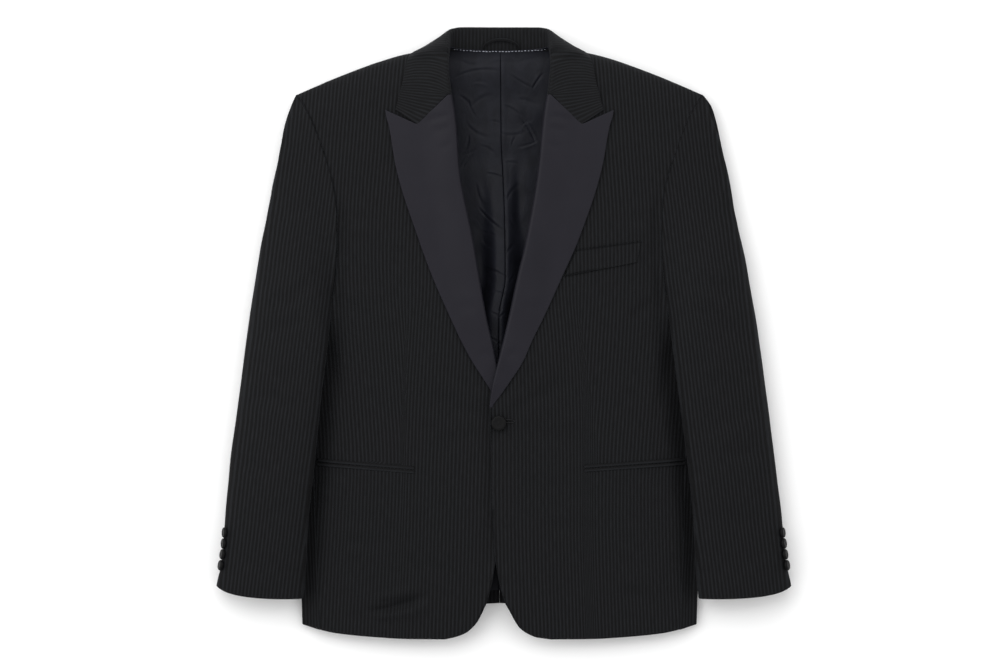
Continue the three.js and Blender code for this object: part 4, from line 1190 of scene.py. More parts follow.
@dataclass
class BackLining:
    """The lining of the back, full of creases where it shows in the neck, with a wandering centre seam."""

    fine_rows: int = 300
    wide_rows: int = 50
    fine_columns: int = 84
    wide_columns: int = 22
    # shares of the half width: how far the fine columns and the neck reach
    fine_reach: float = 0.32
    neck_reach: float = 0.27
    # the cloth is loose by this much twice over, lower down, and stands up in a ridge along the seam
    looseness: float = 13.0
    ridge_half: float = 19.0
    valley: float = 1.8
    crease_depth: float = 0.75
    seam_wander: Curve = field(default_factory=lambda: Curve(
        [300, 417, 468, 525, 597, 651, 715, 760], [-1.5, -0.8, 7.5, 7.0, 4.6, 2.0, 1.6, 1.2],
    ))
    creases: Creases = field(default_factory=lambda: Creases(
        (-60, 727, 2, 736, 1.6, -1.3, 6), (14, 732, 44, 714, 1.3, -1.5, -1),
        (43, 714, 57, 733, 1.3, -1.3, 1), (5, 692, 30, 674, 1.5, -1.4, 3), (27, 677, 47, 643, 1.2, -1.7, 2),
        (48, 645, 24, 638, 1.2, -1.3, 1), (-48, 612, -34, 629, 1.2, -1.3, 1),
        (-44, 628, -28, 640, 1.5, -1.0, -2), (-16, 604, 6, 597, 1.3, -1.7, 1),
        (-26, 558, 8, 527, 1.3, -1.6, -2), (-19, 481, 11, 466, 1.2, -1.6, 2),
        (-10, 423, 1, 416, 1.1, -1.3, 1), (0, 416, 9, 424, 1.1, -1.3, 1), (3, 655, 34, 658, 1.8, -0.9, -3),
        (-36, 690, -8, 706, 2.2, -1.0, 4), (-42, 668, -12, 650, 2.0, -0.9, -4),
        (8, 618, 24, 616, 1.3, -1.0, 1), (10, 570, 26, 590, 1.8, -0.9, 2),
        (-30, 590, -20, 560, 1.8, -0.8, -2), (-8, 505, -22, 520, 1.5, -0.9, 2),
        (10, 500, 20, 512, 1.5, -0.8, 1), (-52, 705, -38, 690, 1.8, -0.9, 2),
        (22, 700, 52, 690, 2.2, -0.8, 3), (-6, 450, 10, 444, 1.3, -0.9, 1),
        (-24, 640, -6, 628, 1.5, -0.9, 2), (-14, 745, 20, 748, 2.6, -0.7, 2),
        (-50, 750, -24, 744, 2.2, -0.8, -2), (24, 748, 50, 752, 2.2, -0.8, 2),
        (-12, 390, 4, 380, 1.3, -0.9, 1), (-40, 654, -46, 632, 1.6, -0.8, 2),
        (14, 546, 22, 530, 1.6, -0.8, -1), (-34, 720, -14, 716, 1.6, 0.8, 2),
        (30, 664, 44, 668, 1.6, 0.8, 2), (-40, 700, -30, 676, 1.4, -0.8, -2),
        (16, 640, 22, 652, 1.3, -0.8, 1), (-12, 672, 2, 668, 1.3, -0.8, 1),
        (-22, 528, -4, 522, 1.3, -0.8, 1), (12, 462, 20, 474, 1.2, -0.8, -1),
        (-14, 440, -4, 452, 1.2, -0.8, 1),
    ))

    def relief(self, x: Grid, y: Grid) -> Grid:
        """Creases on a loose, puffed cloth; x is across both halves, below zero on the right.

        Args:
            x: distances across both halves, below zero on the right.
            y: distances up from the hem.

        Returns:
            Heights over the smooth form.
        """
        away = smooth((y - 285) / 50) * smooth((765 - y) / 26) * smooth((110 - np.abs(x)) / 40)
        seam = x - self.seam_wander(y)
        puff = 3.4 + ripple(x, y, 31, 60, 2.0) + ripple(x, y * 0.6, 33, 26, 0.5)
        loose = self.looseness * smooth((640 - y) / 150) + self.looseness * smooth((540 - y) / 120)
        ridge = loose * np.exp(-(((seam + 3) / self.ridge_half) ** 4))
        pleat = -0.7 * bell(seam / 0.9) + 0.5 * bell((seam - 4.0) / 2.4)
        crease = self.crease_depth * self.creases.relief(x, y)
        beside = x - mix(14, 24, smooth((y - 430) / 150))
        valley = -self.valley * bell(beside / 6) * smooth((625 - y) / 30)
        return away * (np.maximum(puff + ridge + valley, 1.6) + np.maximum(crease, -1.5) + pleat)

    def build(self, room: Workroom) -> None:
        """Sews both halves of the lining."""
        low = np.linspace(0.0015, 0.42, self.wide_rows)
        high = np.linspace(0.42, 0.9985, self.fine_rows)[1:]
        t = np.concatenate([[0.0], low, high, [1.0]])[:, None]
        fine = np.linspace(0.004, self.fine_reach, self.fine_columns)
        wide = np.linspace(self.fine_reach, 0.938, self.wide_columns)[1:]
        s = np.concatenate([[0.0], fine, wide, [0.94]])[None, :]
        top = mix(1.0012, 0.945, smooth((s - self.neck_reach) / 0.12))
        share = mix(0.024, top, t)
        for side in SIDES:
            x, y = Backs.place(share, s)
            wander = side * self.seam_wander(y) * clamp(1 - x / 45)
            x = x + wander
            z = BodyForm.base(x, y) + CLOTH + AIR + LINING_CLOTH
            face = np.stack([x, y, z], -1)
            grain = np.stack([side * x, y], -1)
            name = side_word(side)
            panel = Panel(f"back_lining_{name}", face, grain, thick=LINING_CLOTH, side=side,
                          relief=self.relief(side * x, y), rests_on=(f"back_{name}",))
            room.sew(panel, LINING)


# ---- sleeves ---------------------------------------------------------------------------------------------
class SleeveForm:
    """The ring of a sleeve at any share of the way from the armhole to the cuff."""

    ARC = Curve([0, 1, 2, 3, 4, 5], [0, 0.22, 0.42, 0.66, 0.88, 1])
    BACK_STEPS = 11
    TABLE_AT = 0.25

    def __init__(self, side: int) -> None:
        """Takes the outline of one side's sleeve."""
        self.outer_x = handed(SLEEVE_EDGE, "outer", side)
        self.inner_x = handed(SLEEVE_EDGE, "inner", side)

    def edges(self, t: Grid) -> dict[str, Grid]:
        """Outer edge, inner edge and line of contact with the table, for a column of shares.

        Args:
            t: shares of the way from armhole to cuff.

        Returns:
            Points of the three lines, by name.
        """
        inner_y = ARM_BOTTOM - (ARM_BOTTOM - CUFF_Y) * t**1.25
        outer_y = inner_y + CUFF_TILT + (ARM_TOP - ARM_BOTTOM - CUFF_TILT) * (1 - t) ** 2.2
        inner = np.stack([self.inner_x(inner_y), inner_y, INNER_Z(t)], -1)
        outer = np.stack([self.outer_x(outer_y), outer_y, OUTER_Z(t)], -1)
        x = HALF(inner_y) + 18
        across = (x - inner[..., 0]) / np.maximum(outer[..., 0] - inner[..., 0], 60)
        level = mix(inner_y, outer_y, across)
        table_z = FOLD(ARM_SIDE) * (1 - smooth(t / self.TABLE_AT))
        y = np.minimum(mix(inner_y - ARM_DROP, level, smooth(t / 0.5)), ARM_BOTTOM - ARM_DROP - 38 * t)
        table = np.stack([x, y, table_z], -1)
        side_x, side_z = BodyForm.side_point(np.array(ARM_SIDE), np.array(0.5))
        starts = {
            "inner": (float(ARM_FRONT_X(ARM_BOTTOM)), ARM_BOTTOM, 0.0),
            "outer": (ARM_TOP_X, ARM_TOP, 0.0),
            "table": (float(side_x), float(BodyForm.underarm(side_x)), float(side_z)),
        }
        found = {"inner": inner, "outer": outer, "table": table}
        ease = smooth(t / 0.02)[..., None]
        for name, (sx, sy, _) in starts.items():
            start = np.broadcast_to(np.array([sx, sy, 0.0]), found[name].shape).copy()
            start[..., 2] = found[name][..., 2]
            found[name] = mix(start, found[name], ease)
        return found

    @staticmethod
    def drape(x: Grid, y: Grid) -> Grid:
        """Lower face of the sleeve where it lies over the body's side."""
        share = np.minimum(x / (HALF(y) + 16), 1)
        return (FOLD(y) + CROWN(y)) * (1 - share**2.6) ** (1 / 2.6) + 2

    def follow(self, t: Grid, ends: tuple[str, str], loop: tuple, s: Grid, keep: Grid) -> tuple:
        """Plan position between two edges, bent to the armhole near it and rounded at the cuff.

        Args:
            t: shares of the way from armhole to cuff.
            ends: names of the two edges.
            loop: plan position on the armhole.
            s: shares of the way between the edges.
            keep: how much of the armhole's bend is kept.

        Returns:
            Distances out and distances up.
        """
        now, first = self.edges(t), self.edges(np.zeros_like(t))
        a, b = ends
        base = mix(now[a], now[b], s[..., None])
        start = mix(first[a], first[b], s[..., None])
        x = base[..., 0] + (loop[0] - start[..., 0]) * keep
        y = base[..., 1] + (loop[1] - start[..., 1]) * keep
        inner, outer = now["inner"][..., 0], now["outer"][..., 0]
        out = clamp((x - inner) / (outer - inner))
        level = 0.7 * out**3 + 0.3 * out**12
        return x, y + CUFF_TILT * (level - out) * smooth((t - 0.86) / 0.14)

    def top(self, t: Grid, v: Grid) -> Grid:
        """Points over the top, outer edge (v 0) to inner edge (v 1).

        Args:
            t: shares of the way from armhole to cuff.
            v: shares of the way over the top.

        Returns:
            Points as x, y and z.
        """
        now = self.edges(t)
        s = np.broadcast_to(even(v), np.broadcast(t, v).shape)
        y0 = mix(ARM_TOP, ARM_BOTTOM, s)
        x, y = self.follow(t, ("outer", "inner"), (ARM_FRONT_X(y0), y0), s, clamp(1 - t / 0.4) ** 2)
        around = np.maximum(np.sin(np.pi * v), 0)
        oval = mix(now["outer"][..., 2], now["inner"][..., 2], s) + RISE(t) * around**0.8
        return np.stack([x, y, mix(BodyForm.top(x, y), oval, smooth(t / 0.25))], -1)

    def arc(self, t: Grid, q: Grid) -> Grid:
        """Points from the inner edge (q 0) over the body's side to the table (q 5).

        Args:
            t: shares of the way from armhole to cuff.
            q: steps round, from 0 to 5.

        Returns:
            Points as x, y and z.
        """
        now = self.edges(t)
        shape = np.broadcast(t, q).shape
        q = np.broadcast_to(q, shape)
        s = self.ARC(q)
        side_x, side_z = BodyForm.side_point(np.full(shape, ARM_SIDE), clamp((q - 2) / 6))
        seam_x = HALF(ARM_SIDE) * SEAM_FRONT
        loop_x = np.where(q < 2, mix(ARM_FRONT, seam_x, q / 2), side_x)
        loop_y = BodyForm.underarm(loop_x)
        loop_z = np.where(q < 2, BodyForm.top(loop_x, loop_y), side_z)
        fade = np.broadcast_to(1 - smooth(t / 0.06), shape)
        x, y = self.follow(t, ("inner", "table"), (loop_x, loop_y), s, fade)
        lying = mix(self.drape(x, y), now["table"][..., 2], smooth(q - 4))
        near = mix(lying, loop_z + 0.4, fade)
        oval = mix(BodyForm.top(x, y), now["inner"][..., 2], smooth(t / 0.25))
        return np.stack([x, y, mix(oval, near, smooth(q / 0.9))], -1)

    def back(self, t: Grid, p: Grid) -> Grid:
        """Points from the table (p -1) along the underside to the outer edge (p 10).

        Args:
            t: shares of the way from armhole to cuff.
            p: steps round, from -1 to 10.

        Returns:
            Points as x, y and z.
        """
        now = self.edges(t)
        shape = np.broadcast(t, p).shape
        p = np.broadcast_to(p, shape)
        s = (p + 1) / self.BACK_STEPS
        side_x, side_z = BodyForm.side_point(np.full(shape, ARM_SIDE), clamp((4 + p) / 6))
        seam_x = HALF(ARM_SIDE) * SEAM_BACK
        seam_y = BodyForm.underarm(seam_x)
        turn = clamp(p - 2)
        scye_y = mix(ARM_BOTTOM, ARM_TOP, even(clamp((p - 3) / 7)))
        loop_x = np.where(p < 2, side_x, np.where(p < 3, mix(seam_x, ARM_BACK, turn), ARM_BACK_X(scye_y)))
        rest_y = np.where(p < 3, mix(seam_y, ARM_BOTTOM, turn), scye_y)
        loop_y = np.where(p < 2, BodyForm.underarm(side_x), rest_y)
        loop_z = np.where(p < 2, side_z, BodyForm.base(loop_x, loop_y))
        x, y = self.follow(t, ("table", "outer"), (loop_x, loop_y), s, clamp(1 - t / 0.4) ** 2)
        flat = now["outer"][..., 2] * (1 - bulge((1 - s) * 6, 2.5))
        return np.stack([x, y, mix(loop_z, flat, smooth(t / 0.12))], -1)


@dataclass
class Sleeves:
    """Both two-piece sleeves, laid over the body's sides and flat on the table."""

    rows: int = 150
    top_columns: int = 52
    under_columns: int = 26
    crease_depth: float = 1.5
    # the cuff's turned edge is pressed this deep, this far from the end of a sleeve this long
    cuff_press: float = 0.35
    cuff_deep: float = 34.0
    length: float = 470.0
    creases: dict[int, Creases] = field(default_factory=lambda: {
        LEFT: Creases(
            (246, 470, 300, 440, 9, -1.3, 5), (250, 430, 306, 384, 10, -1.2, 6),
            (330, 300, 262, 276, 11, -1.1, 5), (340, 250, 290, 238, 9, -0.8, 4),
            (300, 560, 262, 520, 12, -0.9, -5), (286, 640, 258, 600, 9, -0.7, 4),
            (276, 160, 330, 140, 12, -0.7, 5), (262, 340, 300, 326, 8, -0.8, 3),
            (344, 120, 300, 96, 10, -0.6, 4),
        ),
        RIGHT: Creases(
            (244, 462, 296, 428, 9, -1.3, -5), (248, 412, 304, 392, 10, -1.0, 5),
            (318, 318, 258, 290, 11, -1.2, -5), (330, 232, 282, 222, 9, -0.9, 4),
            (292, 580, 258, 540, 12, -0.9, 5), (268, 180, 318, 152, 12, -0.7, -4),
            (336, 110, 292, 92, 10, -0.6, 3), (280, 646, 254, 612, 9, -0.7, -4),
            (252, 350, 292, 330, 8, -0.7, 3),
        ),
    })

    def relief(self, side: int, face: Grid, t: Grid, upper: bool) -> Grid:
        """Creases and slow unevenness, eased at the armhole and the cuff.

        Args:
            side: the wearer's side.
            face: the panel's grid.
            t: shares of the way from armhole to cuff.
            upper: whether it is the top sleeve.

        Returns:
            Heights over the smooth form.
        """
        x, y = face[..., 0], face[..., 1]
        clear = smooth(t / 0.05) * smooth((1 - t) / 0.03)
        slow = ripple(x, y, 41 + side + 4 * upper, 80, 0.9)
        pressed = -self.cuff_press * bell(((1 - t) * self.length - self.cuff_deep) / 2.2)
        if not upper:
            return -np.abs(slow) * clear * 0.5
        return (self.crease_depth * self.creases[side].relief(x, y) + slow) * clear + pressed

    def build(self, room: Workroom) -> None:
        """Sews the top and under sleeve of each side, cuff first so that the rows run upward."""
        t = np.concatenate([[0.0, 0.003], np.linspace(0.008, 0.997, self.rows), [1.0]])[::-1][:, None]
        for side in SIDES:
            form = SleeveForm(side)
            hind = form.back(t, np.linspace(8, 10, 12)[None, :-1])
            over = form.top(t, np.linspace(0, 1, self.top_columns)[None, :])
            fore = form.arc(t, np.linspace(0, 1, 7)[None, 1:])
            upper = self.trim(np.concatenate([hind, over, fore], 1))
            wrap = form.arc(t, np.linspace(1, 5, self.under_columns)[None, :])
            flat = form.back(t, np.linspace(-1, 8, 30)[None, 1:])
            under = self.trim(np.concatenate([wrap, flat], 1))
            word = side_word(side)
            for name, face, on in (
                (f"top_sleeve_{word}", upper, (f"front_{word}", f"side_body_{word}")),
                (f"under_sleeve_{word}", under, (f"side_body_{word}",)),
            ):
                grain = sleeve_grain(face, face.shape[1] // 2)
                relief = self.relief(side, face, t, face is upper)
                panel = Panel(name, face, grain, thick=SLEEVE_CLOTH, side=side, relief=relief, rests_on=on,
                              end_gap=OVERLAP, turned=True)
                room.sew(panel, WOOL)

    @staticmethod
    def trim(face: Grid) -> Grid:
        """Narrow cells at the first and last column, so that the rim rounds only there."""
        first = mix(face[:, :1], face[:, 1:2], 0.25)
        last = mix(face[:, -1:], face[:, -2:-1], 0.25)
        return np.concatenate([face[:, :1], first, face[:, 1:-1], last, face[:, -1:]], 1)


# ---- lapels and collar -----------------------------------------------------------------------------------
def leaf_rise(out: Grid, radius: Grid) -> Grid:
    """Height of the roll of a lapel or collar, easing down to the cloth it lies on."""
    return mix(2 * radius - LEAF_JOIN, LEAF_LIFT, smooth(out / LEAF_REACH))


@dataclass
class Lapels:
    """Peak lapels faced with satin, rolled back from the front edges."""

    rows: int = 120
    turn_steps: int = 12
    face_steps: int = 44
    creases: Creases = field(default_factory=lambda: Creases(
        (66, 676, 96, 668, 4.0, -0.7, 1), (64, 660, 88, 655, 4.5, -0.5, 1), (62, 640, 78, 634, 4.5, -0.4, -1),
        (30, 430, 58, 424, 7, -0.4, 2), (10, 366, 26, 372, 5, -0.5, 1), (70, 560, 112, 572, 12, -0.35, 4),
    ))

    def build(self, room: Workroom) -> None:
        """Sews both lapels."""
        t = spread(self.rows, 0.0022)[:, None]
        kink = NOTCH_Y - mix(GORGE_Y, PEAK_Y, NOTCH_AT)
        for side in SIDES:
            inner_y = mix(LAPEL_FOOT, GORGE_Y, t)
            outer_y = mix(LAPEL_FOOT, PEAK_Y, t)
            radius = fold_radius(inner_y)
            foot = handed(LAPEL, "roll", side)(inner_y) + radius
            edge = handed(LAPEL, "edge", side)(outer_y)
            angle = np.radians(np.linspace(-90, 90, self.turn_steps, endpoint=False))[None, :]
            turn_z = BodyForm.lying(side, foot, inner_y) - LEAF_JOIN + radius * (1 + np.sin(angle))
            turn_x = foot - radius * np.cos(angle)
            turn = np.stack([turn_x, np.broadcast_to(inner_y, turn_x.shape), turn_z], -1)
            s = np.concatenate([np.linspace(0, 0.985, self.face_steps), [1.0]])[None, :]
            x = mix(foot, edge, s)
            notch = np.where(s < NOTCH_AT, s / NOTCH_AT, (1 - s) / (1 - NOTCH_AT))
            y = mix(inner_y, outer_y, s) + kink * notch * smooth((t - 0.6) / 0.4)
            face = np.concatenate([turn, BodyForm.above(side, x, y, leaf_rise(x - foot, radius))], 1)
            plan_x, plan_y = face[..., 0], face[..., 1]
            grain = np.stack([plan_x, plan_y], -1)
            soft = self.creases.relief(plan_x, plan_y) + ripple(plan_x, plan_y, 51 + side, 90, 0.3)
            word = side_word(side)
            panel = Panel(f"lapel_{word}", face, grain, thick=LAPEL_CLOTH, side=side,
                          relief=soft * smooth(t / 0.1), rests_on=(f"front_{word}",), held="folded",
                          end_gap=COLLAR_OVERLAP)
            room.sew(panel, SATIN)


def refine(points: Grid, rows: Grid, columns: Grid) -> Grid:
    """A finer grid on smooth curves through the given one.

    Args:
        points: rows x columns x 3.
        rows: shares along the first axis.
        columns: shares along the second axis.

    Returns:
        The finer grid.
    """
    run = arc_lengths(points, 0).mean(1)
    points = Curve(run / run[-1], points)(rows)
    run = arc_lengths(points, 1).mean(0)
    points = Curve(run / run[-1], np.swapaxes(points, 0, 1))(columns)
    return np.swapaxes(points, 0, 1)


@dataclass
class Collar:
    """The collar: a leaf that folds down over the shoulders and a stand inside the neck."""

    rows: int = 300
    leaf_columns: int = 46
    stand_columns: int = 22

    @staticmethod
    def laid(point: tuple) -> Grid:
        """A point of the collar as given, or laid on the front when it has no height."""
        x, y, z = (*point, None)[:3]
        if z is not None:
            return np.array([x, y, z], float)
        return BodyForm.above(RIGHT, x, y, leaf_rise(np.array(x - 70.0), np.array(FOLD_RADIUS)))

    @staticmethod
    def fold_arc(crest: Grid, leaf: Grid, stand: Grid, way: int) -> list[Grid]:
        """Three points round the fold, from its crest towards the leaf (way 1) or the stand (way -1).

        Args:
            crest: point of the fold.
            leaf: next point of the leaf.
            stand: next point of the stand.
            way: 1 or -1.

        Returns:
            The points, from the crest on.
        """
        to_leaf = (leaf - crest) / np.linalg.norm(leaf - crest)
        to_stand = (stand - crest) / np.linalg.norm(stand - crest)
        out = -(to_leaf + to_stand)
        out /= np.linalg.norm(out)
        across = to_leaf - to_stand
        across -= out * across.dot(out)
        across *= way * COLLAR_ROLL / np.linalg.norm(across)
        span = (math.pi - math.acos(float(np.clip(to_leaf.dot(to_stand), -1, 1)))) / 2
        centre = crest - out * COLLAR_ROLL
        return [
            centre + out * COLLAR_ROLL * math.cos(span * v) + across * math.sin(span * v)
            for v in (0, 0.5, 1)
        ]

    @staticmethod
    def through(a: Grid, b: Grid, c: Grid, v: float) -> Grid:
        """Point of the curve that starts at a, passes b half way and ends at c."""
        pull = 2 * b - (a + c) / 2
        return (1 - v) ** 2 * a + 2 * v * (1 - v) * pull + v * v * c

    def sections(self) -> tuple[Grid, Grid]:
        """Rows of the leaf and of the stand from the centre back to the gorge.

        Returns:
            Points of the leaf and of the stand.
        """
        shares = [0.1, 0.26, 0.5, 0.76, 1.0]
        leaf, stand = [], []
        for fold, middle, edge, seam in COLLAR:
            crest, at, end, neck = self.laid(fold), self.laid(middle), self.laid(edge), np.array(seam, float)
            leaf_arc = self.fold_arc(crest, at, neck, 1)
            stand_arc = self.fold_arc(crest, at, neck, -1)
            leaf.append(leaf_arc + [self.through(leaf_arc[-1], at, end, v) for v in shares])
            stand.append(stand_arc + [mix(stand_arc[-1], neck, v) for v in (0.33, 0.66, 1.0)])
        ends = [0, 0.02, 0.05, *[mix(0.05, 1, v) for v in shares]]
        for inner, outer in np.array(LEAF_END, float):
            leaf.append([self.laid(tuple(mix(inner, outer, v))) for v in ends])
        return np.array(leaf), np.array(stand)

    @staticmethod
    def whole(half: Grid) -> Grid:
        """Both halves, as rows from the left gorge round the neck to the right one."""
        return np.concatenate([half[::-1], half[1:] * [-1, 1, 1]])

    def build(self, room: Workroom) -> None:
        """Sews the leaf and the stand."""
        leaf, stand = self.sections()
        rows = spread(self.rows, 0.0015)
        for name, half, columns, turned, on in (
            ("collar_leaf", leaf, self.leaf_columns, False, ("front_left", "front_right")),
            ("collar_stand", stand, self.stand_columns, True, ("back_left", "back_right")),
        ):
            face = refine(self.whole(half), rows, spread(columns, 0.01))
            run = arc_lengths(face, 0)[:, face.shape[1] // 2]
            pitch = COLLAR_PITCH if name == "collar_leaf" else WOOL.pitch
            run = (run - run[len(run) // 2]) * WOOL.pitch / pitch
            depth = arc_lengths(face, 1)
            grain = np.stack([np.broadcast_to(run[:, None], depth.shape), depth], -1)
            soft = ripple(run[:, None], depth, 61, 60, 0.35)
            panel = Panel(name, face, grain, thick=LAPEL_CLOTH if name == "collar_leaf" else CLOTH,
                          turned=turned, relief=soft, rests_on=on, held="folded", end_gap=COLLAR_OVERLAP)
            room.sew(panel, CROSS_WOOL)


@dataclass
class HangerLoop:
    """A strip of the jacket's own cloth, arched against the stand."""

    half: float = 22.0
    rise: float = 15.0
    width: float = 4.5
    centre: float = 2.0
    y: float = 764.5
    low: float = 8.4
    high: float = 11.0
    cloth: float = 1.2

    def build(self, room: Workroom) -> None:
        """Sews the loop."""
        v = spread(60, 0.01)[:, None]
        w = spread(10, 0.05)[None, :]
        x = self.centre - (self.half + self.width * w / 2) * np.cos(np.pi * v)
        y = self.y + (self.rise - self.width * (1 - w)) * np.sin(np.pi * v)
        z = mix(self.low, self.high, smooth((y - self.y) / 9)) + 0.5 * np.sin(np.pi * w) * np.ones_like(v)
        face = np.stack([x, y, z], -1)
        grain = np.stack([w * self.width * np.ones_like(v), np.broadcast_to(v * 50, x.shape)], -1)
        panel = Panel("hanger_loop", face, grain, thick=self.cloth, turned=True, rests_on=("collar_stand",))
        room.sew(panel, WOOL)


# ---- pockets ---------------------------------------------------------------------------------------------
@dataclass
class Pockets:
    """The breast welt on the left front and a jetted pocket on each side, lips together."""

    strip_cloth: float = 1.4
    welt_rise: float = 1.7
    jet_rise: float = 0.9
    welt_puff: float = 0.25
    jet_puff: float = 0.7
    welt_bottom: tuple = ((83, 468.7), (177.6, 487.2))
    welt_top: tuple = ((99, 504.4), (183, 515.5))
    jet_ends: dict[int, tuple] = field(default_factory=lambda: {
        RIGHT: ((110, 225), (236, 234.5)), LEFT: ((109, 227), (240, 235.6)),
    })
    jet_deep: float = 4.8
    jet_pitch: float = 5.2

    def strip(
        self, name: str, side: int, bottom: tuple | Grid, top: tuple | Grid, rise: float, puff: float,
        room: Workroom, along: bool,
    ) -> None:
        """Sews a strip laid on a front between two lines.

        Args:
            name: the strip.
            side: the wearer's side.
            bottom: inner and outer end of its lower edge.
            top: inner and outer end of its upper edge.
            rise: height of its face over the front.
            puff: extra height along its middle.
            room: the workroom.
            along: whether the cord runs along the strip.
        """
        deep = math.dist(bottom[0], top[0])
        v = spread(8, 0.5 / deep)[:, None]
        u = spread(64, 0.006)[None, :]
        low, high = np.array(bottom, float), np.array(top, float)
        ends = [mix(low[k], high[k], v[..., None]) for k in (0, 1)]
        plan = mix(ends[0], ends[1], u[..., None])
        x, y = plan[..., 0], plan[..., 1]
        face = BodyForm.above(side, x, y, rise + puff * np.sin(np.pi * v) * np.ones_like(u))
        grain = np.stack([(v - 0.5) * deep * np.ones_like(u), x], -1) if along else STRIPES[side].grain(x, y)
        panel = Panel(name, face, grain, thick=self.strip_cloth, side=side,
                      rests_on=(f"front_{side_word(side)}",))
        room.sew(panel, CROSS_WOOL if along else WOOL)

    def build(self, room: Workroom) -> None:
        """Sews the welt and both pairs of jets."""
        self.strip("breast_welt", LEFT, self.welt_bottom, self.welt_top, self.welt_rise, self.welt_puff,
                   room, False)
        for side in SIDES:
            ends = np.array(self.jet_ends[side], float)
            for number, which in enumerate(("upper", "lower")):
                drop = number * self.jet_pitch
                top, bottom = ends - [0, drop], ends - [0, drop + self.jet_deep]
                name = f"hip_jet_{which}_{side_word(side)}"
                self.strip(name, side, bottom, top, self.jet_rise, self.jet_puff, room, True)


# ---- buttons and hand stitching --------------------------------------------------------------------------
@dataclass
class CoveredButtons:
    """Domed moulds covered in satin: one on the front and four on each cuff."""

    segments: int = 56
    # folds gathered round the rim, and their depth as a share of the radius
    gathers: int = 14
    gather: float = 0.012
    # share of the radius, share of the height
    profile: tuple = (
        (0.0, 0.02), (0.5, 0.02), (0.78, 0.03), (0.92, 0.12), (0.985, 0.28), (1.0, 0.44), (0.99, 0.62),
        (0.95, 0.79), (0.88, 0.92), (0.79, 0.99), (0.68, 1.0), (0.52, 0.97), (0.34, 0.94), (0.16, 0.93),
        (0.0, 0.93),
    )

    @staticmethod
    def axis_of(node: str) -> tuple[Grid, Grid, float, float]:
        """Middle, direction, radius and thickness of a button of the frame.

        Args:
            node: name of the button in the frame.

        Returns:
            The four, in metres.
        """
        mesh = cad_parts[node].data
        points = np.array([v.co for v in mesh.vertices])
        middle = (points.min(0) + points.max(0)) / 2
        _, _, ways = np.linalg.svd(points - points.mean(0))
        axis = ways[2]
        side = LEFT if "left" in node else RIGHT
        towards = np.array([0, 0, 1.0]) if node == "front_button" else np.array([side * 1.0, 0, 0.6])
        axis = axis if axis.dot(towards) > 0 else -axis
        run = (points - middle) @ axis
        middle = middle + axis * (run.max() + run.min()) / 2
        flat = points - middle - np.outer((points - middle) @ axis, axis)
        return middle, axis, float(np.linalg.norm(flat, axis=1).max()), float(run.max() - run.min())

    def build(self, room: Workroom) -> None:
        """Makes every button in its own frame place."""
        names = ["front_button"]
        names += [f"cuff_button_{word}_{n}" for word in ("left", "right") for n in range(1, 5)]
        for name in names:
            middle, axis, radius, thick = self.axis_of(name)
            side = np.cross(axis, [0, 1.0, 0])
            side /= np.linalg.norm(side)
            up = np.cross(axis, side)
            turn = np.linspace(0, 2 * np.pi, self.segments, endpoint=False)
            rings = []
            for share, height in self.profile[1:-1]:
                gather = 1 + self.gather * np.sin(turn * self.gathers) * (0.1 < height < 0.6)
                ring = radius * share * gather
                spot = middle + axis * thick * (height - 0.5)
                way = np.outer(np.cos(turn), side) + np.outer(np.sin(turn), up)
                rings.append(spot + ring[:, None] * way)
            count = len(rings)
            low, high = middle - axis * thick * 0.48, middle + axis * thick * 0.5
            points = np.concatenate([*rings, [low], [high]])
            faces = []
            for k in range(self.segments):
                after = (k + 1) % self.segments
                for ring in range(count - 1):
                    a, b = ring * self.segments, (ring + 1) * self.segments
                    faces.append((a + k, b + k, b + after, a + after))
                faces.append((k, after, count * self.segments))
                last = (count - 1) * self.segments
                faces.append((last + after, last + k, count * self.segments + 1))
            piece = add_mesh(f"{name}_cover", points, faces, room.cloth(BUTTON_SATIN))
            self.face_out(piece)
            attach(piece, "root")
            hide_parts(name)
            room.note(piece)

    @staticmethod
    def face_out(piece: Object) -> None:
        """Turns the faces outward if they were wound the other way."""
        mesh = piece.data
        middle = sum((v.co for v in mesh.vertices), Vector()) / len(mesh.vertices)
        if sum((p.center - middle).dot(p.normal) * p.area for p in mesh.polygons) < 0:
            mesh.flip_normals()


